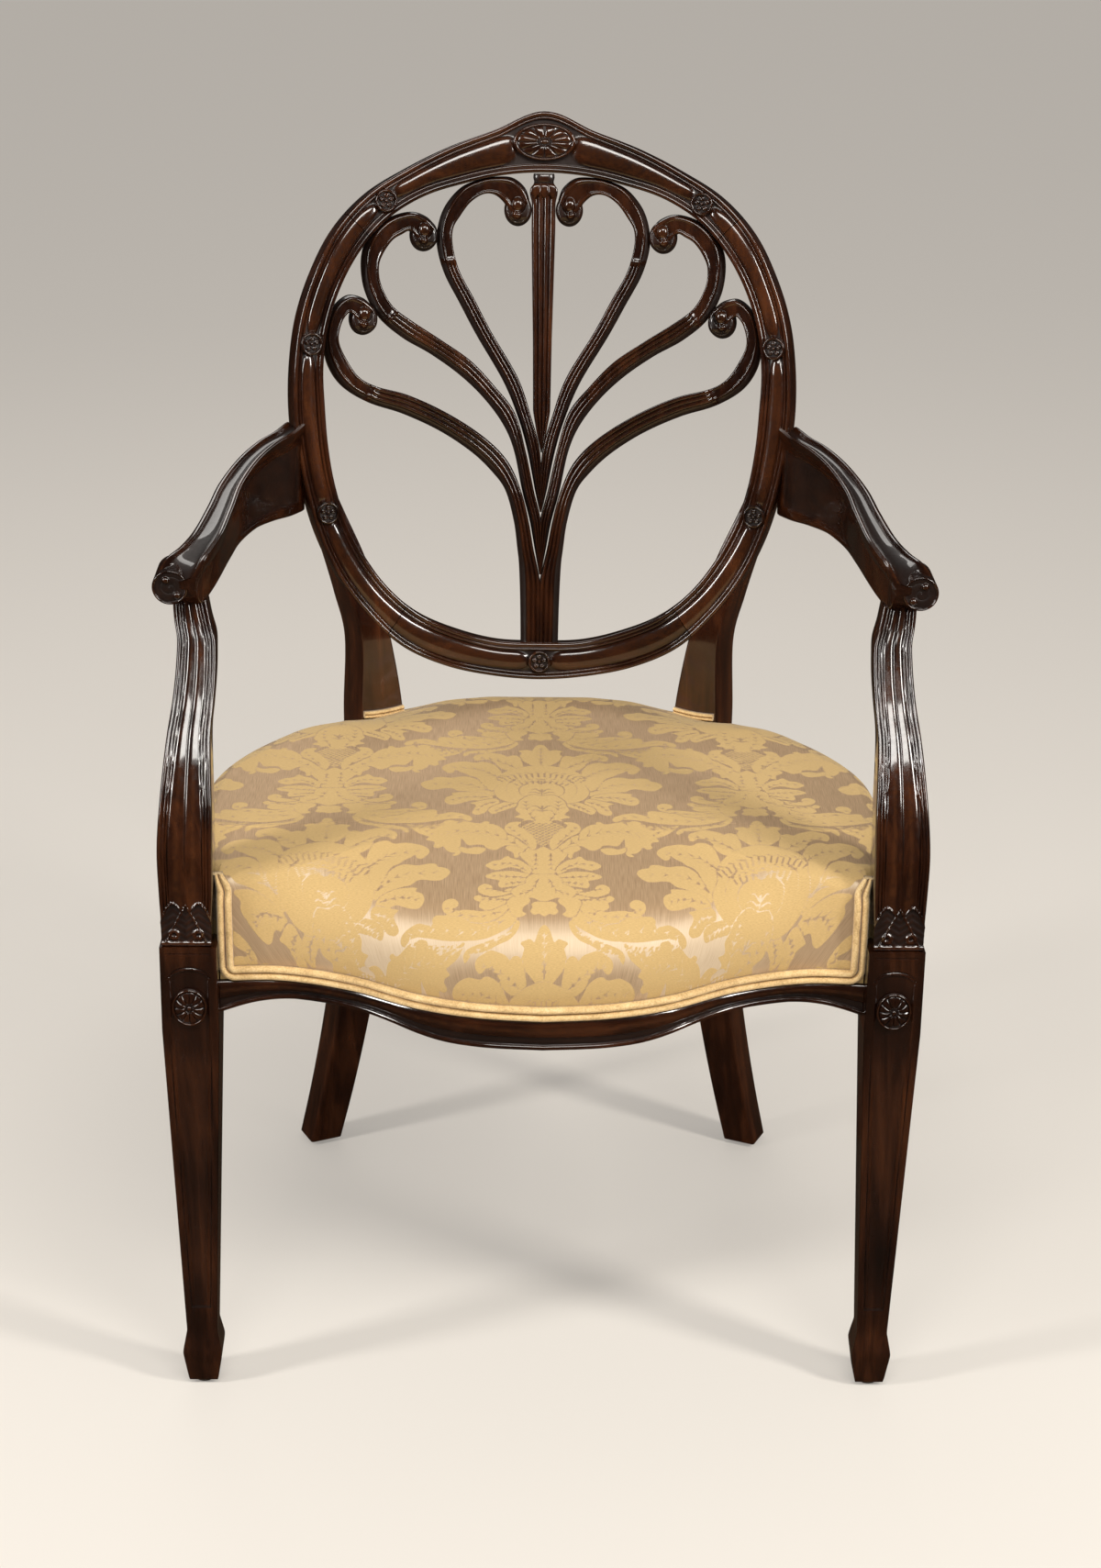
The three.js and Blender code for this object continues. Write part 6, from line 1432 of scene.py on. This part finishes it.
def twill(tree, where):
    """Slanting ribs, a little uneven."""
    return add(tree, "ShaderNodeTexWave", {"Vector": where, "Scale": 160, "Distortion": 1.5},
               bands_direction="DIAGONAL").outputs["Fac"]


stuffing_wool = patterned("stuffing", lambda tree, where: noise(tree, where, 160, 6), (0.52, 0.47, 0.38),
                          (0.78, 0.74, 0.64), 0.95, 0.6, 0.002)
jute = patterned("jute_webbing", twill, (0.24, 0.16, 0.085), (0.46, 0.34, 0.20), 0.9, 0.5, 0.0008, 0.2, 0.8)
cambric = patterned("black_cambric", lambda tree, where: noise(tree, where, 900, 2), (0.012, 0.011, 0.011),
                    (0.040, 0.037, 0.035), 0.92, 0.4, 0.0004)

# %% Stuffing
PAD_FOOT = 407.6
pad_rings, _ = seat_rings(REBATE, 4.0, 0.8, 160, 6.0, 3.2)
pad_rings[0, :, 2] = PAD_FOOT
pad = make_piece("stuffed_pad", [skin(pad_rings)], stuffing_wool, ["seat_pad"], "stuffing")

# %% Webbing
WEB_WIDE, WEB_Z, WEB_THICK = 48, 406.4, 0.9


def strap(start, end, bends):
    """A flat band between two plan points, rising and sinking over the bands that it crosses."""
    t = np.linspace(0, 1, 60)[:, None]
    start, end = np.array(start, float), np.array(end, float)
    along = end - start
    sideways = np.array([-along[1], along[0]]) / np.linalg.norm(along)
    share = np.array([-0.5, -0.25, 0, 0.25, 0.5, 0.5, 0.25, 0, -0.25, -0.5])
    plan = (start + along * t)[:, None] + sideways * share[None, :, None] * WEB_WIDE
    level = WEB_Z + 0.5 * np.sin(t * math.pi * bends) + np.repeat([WEB_THICK / 2, -WEB_THICK / 2], 5)
    return skin(np.concatenate([plan, level[..., None]], -1), 0.2)


side_table = side_point(np.linspace(0, 1, 800), 0)
straps = []
for x in (-90, -30, 30, 90):
    front = float(front_y(np.array(abs(x) + WEB_WIDE / 2))) + 20
    straps.append(strap([x, front], [x, 421], 5.5))
for y in 62.0 + 70 * np.arange(5):
    half = float(np.interp(y + WEB_WIDE / 2, side_table[:, 1], side_table[:, 0])) - 12
    straps.append(strap([-half, y], [half, y], -7))
make_piece("woven_webbing", straps, jute, ["seat_webbing"], "webbing")

# %% [markdown]
# A thin black cambric is stretched under the rails and tacked, so that no dust falls out of the
# stuffing. It is two flat stacks of shrinking rings, one for each face.

# %% Dust cover
CAMBRIC_Z, CAMBRIC_THICK, CAMBRIC_REAR = 343.8, 0.9, 421


def dust_sheet():
    """A flat cloth under the frame: rings shrink from its outline to the middle and come back below."""
    x = np.linspace(0, 255.6, 60)
    front = np.stack([x, front_y(x) + 25.5], -1)
    side_run = side_point(np.linspace(0.0, 0.83, 80), 12)
    rear = np.stack([np.linspace(128, 0, 30), np.full(30, CAMBRIC_REAR)], -1)
    half = np.concatenate([front, side_run, [[POST_X, CAMBRIC_REAR]], rear])
    outline = np.concatenate([half, half[-2:0:-1] * (-1, 1)])
    outline = pressed_back(outline, 0.8)
    shrink = np.linspace(0.004, 1, 16)[:, None, None]
    plan = CENTRE + (outline[None] - CENTRE) * shrink
    sag = CAMBRIC_Z + 0.35 * shrink ** 2 + 0 * plan[..., :1]
    top = np.concatenate([plan, sag], -1)
    below = top[::-1] - (0, 0, CAMBRIC_THICK)
    return skin(np.concatenate([top, below]), 0.3), outline


sheet_skin, outline = dust_sheet()
dust = make_piece("cambric_dust_cover", [sheet_skin], cambric, ["dust_cover"], "cambric")
(x, y), (next_x, next_y) = outline.T * MM, np.roll(outline, -1, 0).T * MM
wide, deep = np.ptp(outline, axis=0) * MM

# %% [markdown]
# ## Double welt
# The tacked edge is hidden by two cords sewn side by side into one strip of the same cloth, glued
# along the edge and mitred up the corners beside the legs. The strip is a profile of two rounds
# carried along a path that lies on the seat's surface. The crease between the cords and the strip's
# edges against the cloth are painted dark, as painted shade, and the slanting threads of their cover
# are fine ridges along the run.

# %% Welt material
CREASE_SHADE = (0.10, 0.045, 0.015, 1)
welt_cloth, tree, shader = plain_material("welt_cloth")
where = object_place(tree)
fibre = noise(tree, where, 700, 3)
tone = blend(tree, fibre, 0.6, noise(tree, where, 95, 3), 0.45)
cream = ramp(tree, tone, [(0.34, (0.420, 0.260, 0.100)), (0.52, (0.640, 0.430, 0.185)),
                          (0.72, (0.780, 0.580, 0.300))])
slant = maths(tree, "FRACT", maths(tree, "MULTIPLY", attribute(tree, "run"), 620))
relief = maths(tree, "ADD", fibre, maths(tree, "MULTIPLY", slant, 0.25))
# painted shade: the crease between the cords and the edges where the strip meets the cloth are painted dark
crease_shaded = mix(tree, remap(tree, attribute(tree, "hollow"), 0.55, 0.98, 0.0, 0.8), cream, CREASE_SHADE)
fill(tree, shader, {"Base Color": crease_shaded, "Roughness": 0.62, "Sheen Weight": 0.3,
                    "Normal": bumped(tree, relief, 0.35, 0.0006)})
print("material", welt_cloth.name)


# %% Welt shape
WELT_WIDE, WELT_THICK, WELT_INSET, WELT_Z = 12.4, 5.4, 4.2, FOOT_Z + 5.6
UP = (0.0, 0.0, 1.0)


def welt_skin(path, over, out, width=WELT_WIDE, thick=WELT_THICK):
    """Two cords side by side, and the run at each point: the path is their middle, over is the direction
    across the strip and out the way that it stands out. The strip's edges reach into the cloth."""
    share = np.linspace(-0.5, 0.5, 33)
    rise = np.maximum(round_top(share, -0.25, 0.25), round_top(share, 0.25, 0.25)) * thick
    share, rise = np.r_[share, 0.46, -0.46], np.r_[np.maximum(rise, 0.25), -2.4, -2.4]
    rings = path[:, None] + over[:, None] * share[None, :, None] * width + out[:, None] * rise[None, :, None]
    run = np.r_[0, np.cumsum(np.linalg.norm(np.diff(path, axis=0), axis=1))]
    return skin(rings, np.clip(1 - rise / thick, 0, 1)), np.r_[np.repeat(run, len(share)) * MM, 0, 0]


def sew(node, path, over, out, pair=False, **shape):
    """Makes a welt from its path and directions, and its mirror image too where it is one of a pair."""
    over, out = (np.broadcast_to(np.asarray(way, float), path.shape) for way in (over, out))
    strip, run = welt_skin(path, over, out, **shape)
    more = {"slot": "welt_cloth", "attributes": {"run": run}}
    if pair:
        make_pair(node, [strip], welt_cloth, "sewn", **more)
    else:
        make_piece(f"{node}_sewn", [strip], welt_cloth, [node], **more)


def front_welt():
    """Path and directions along the foot of the front, round a small bend, and up the corner by each leg."""
    bend, high, side_x = 6.5, 459.0, 250.6
    flat_x = np.linspace(0, side_x - bend, 260)
    turn = np.linspace(0, math.pi / 2, 16)[1:]
    rise_z = np.linspace(WELT_Z + bend, high, 70)[1:]
    x = np.r_[flat_x, side_x - bend + bend * np.sin(turn), side_x + 5 * smoothstep(rise_z, 444, high)]
    z = np.r_[np.full(260, WELT_Z), WELT_Z + bend * (1 - np.cos(turn)), rise_z]
    way = np.stack([np.gradient(x), np.gradient(z)], -1)
    way /= np.linalg.norm(way, axis=1, keepdims=True)
    y = np.where(z > WELT_Z, front_y(flat_x[-1:]), front_y(x)) + WELT_INSET + 9 * smoothstep(z, 436, high)
    y = y - 2 * smoothstep(z, FOOT_Z + 8, FOOT_Z + 30)
    path = np.stack([x, y, z], -1)
    over = np.stack([-way[:, 1], np.zeros(len(x)), way[:, 0]], -1)
    slope = np.gradient(front_y(x)) / np.maximum(np.gradient(x), 0.2)
    out = np.stack([slope, -np.ones(len(x)), np.zeros(len(x))], -1)
    out /= np.linalg.norm(out, axis=1, keepdims=True)
    left = [np.stack([-a[:0:-1, 0], a[:0:-1, 1], a[:0:-1, 2]], -1) for a in (path, over, out)]
    path, over, out = (np.concatenate([a, b]) for a, b in zip(left, (path, over, out)))
    width = WELT_WIDE * (1 - 0.4 * smoothstep(path[:, 2], high - 12, high))
    return path, over, out, width[:, None, None]


*strip, width = front_welt()
sew("front_double_welt", *strip, width=width)

share = np.linspace(0.0, 0.845, 220)
plan = side_point(share, WELT_INSET)
plan[0, 1] = 33.2
path = and_then(plan, [WELT_Z])
sew("side_double_welt", path, UP, and_then(plan - side_point(share, WELT_INSET + 1), [0]), pair=True)
x = np.linspace(-126, 126, 120)
path = and_then(x[:, None], [SEAT_DEEP - WELT_INSET, WELT_Z])
sew("rear_double_welt", path, UP, (0, 1, 0))

# %% Gimp at the posts
GIMP_WIDE, GIMP_THICK, GIMP_FRONT = 6.4, 3.4, -24.8
plan = np.stack(from_post(np.linspace(-19, 19, 40), GIMP_FRONT), -1)
level = FOOT_Z + (CROWN_Z - FOOT_Z) * 0.965 + 0.93 * crown_lift(plan) + 2.5
path = np.concatenate([plan, level[:, None]], -1)
forwards = (-math.sin(POST_TURN), -math.cos(POST_TURN), 0)
sew("post_gimp", path, UP, forwards, pair=True, width=GIMP_WIDE, thick=GIMP_THICK)

# %% [markdown]
# ## Steel and secondary timber
# Screws, glides and corner blocks keep their CAD shapes, since nobody sees them closely. The
# screws and glides are bare steel, dulled and scratched; the blocks are plain sawn beech.

# %% Steel and beech
steel, tree, shader = plain_material("steel")
marks = noise(tree, object_place(tree), 500, 4)
fill(tree, shader, {"Base Color": ramp(tree, marks, [(0.3, (0.36, 0.35, 0.33)), (0.7, (0.62, 0.61, 0.58))]),
                    "Roughness": remap(tree, marks, 0.3, 0.7, 0.28, 0.5), "Metallic": 1.0})
beech = patterned("beech", lambda tree, where: noise(tree, stretched(tree, where, (10, 60, 120)), 2.5, 5),
                  (0.24, 0.135, 0.060), (0.44, 0.285, 0.150), 0.72, 0.3, 0.0005)

for name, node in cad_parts.items():
    finish = steel if "screw" in name or "glide" in name else beech if "block" in name else None
    if finish is not None:
        for holder in node.material_slots:
            holder.material = finish
print("plain nodes finished")
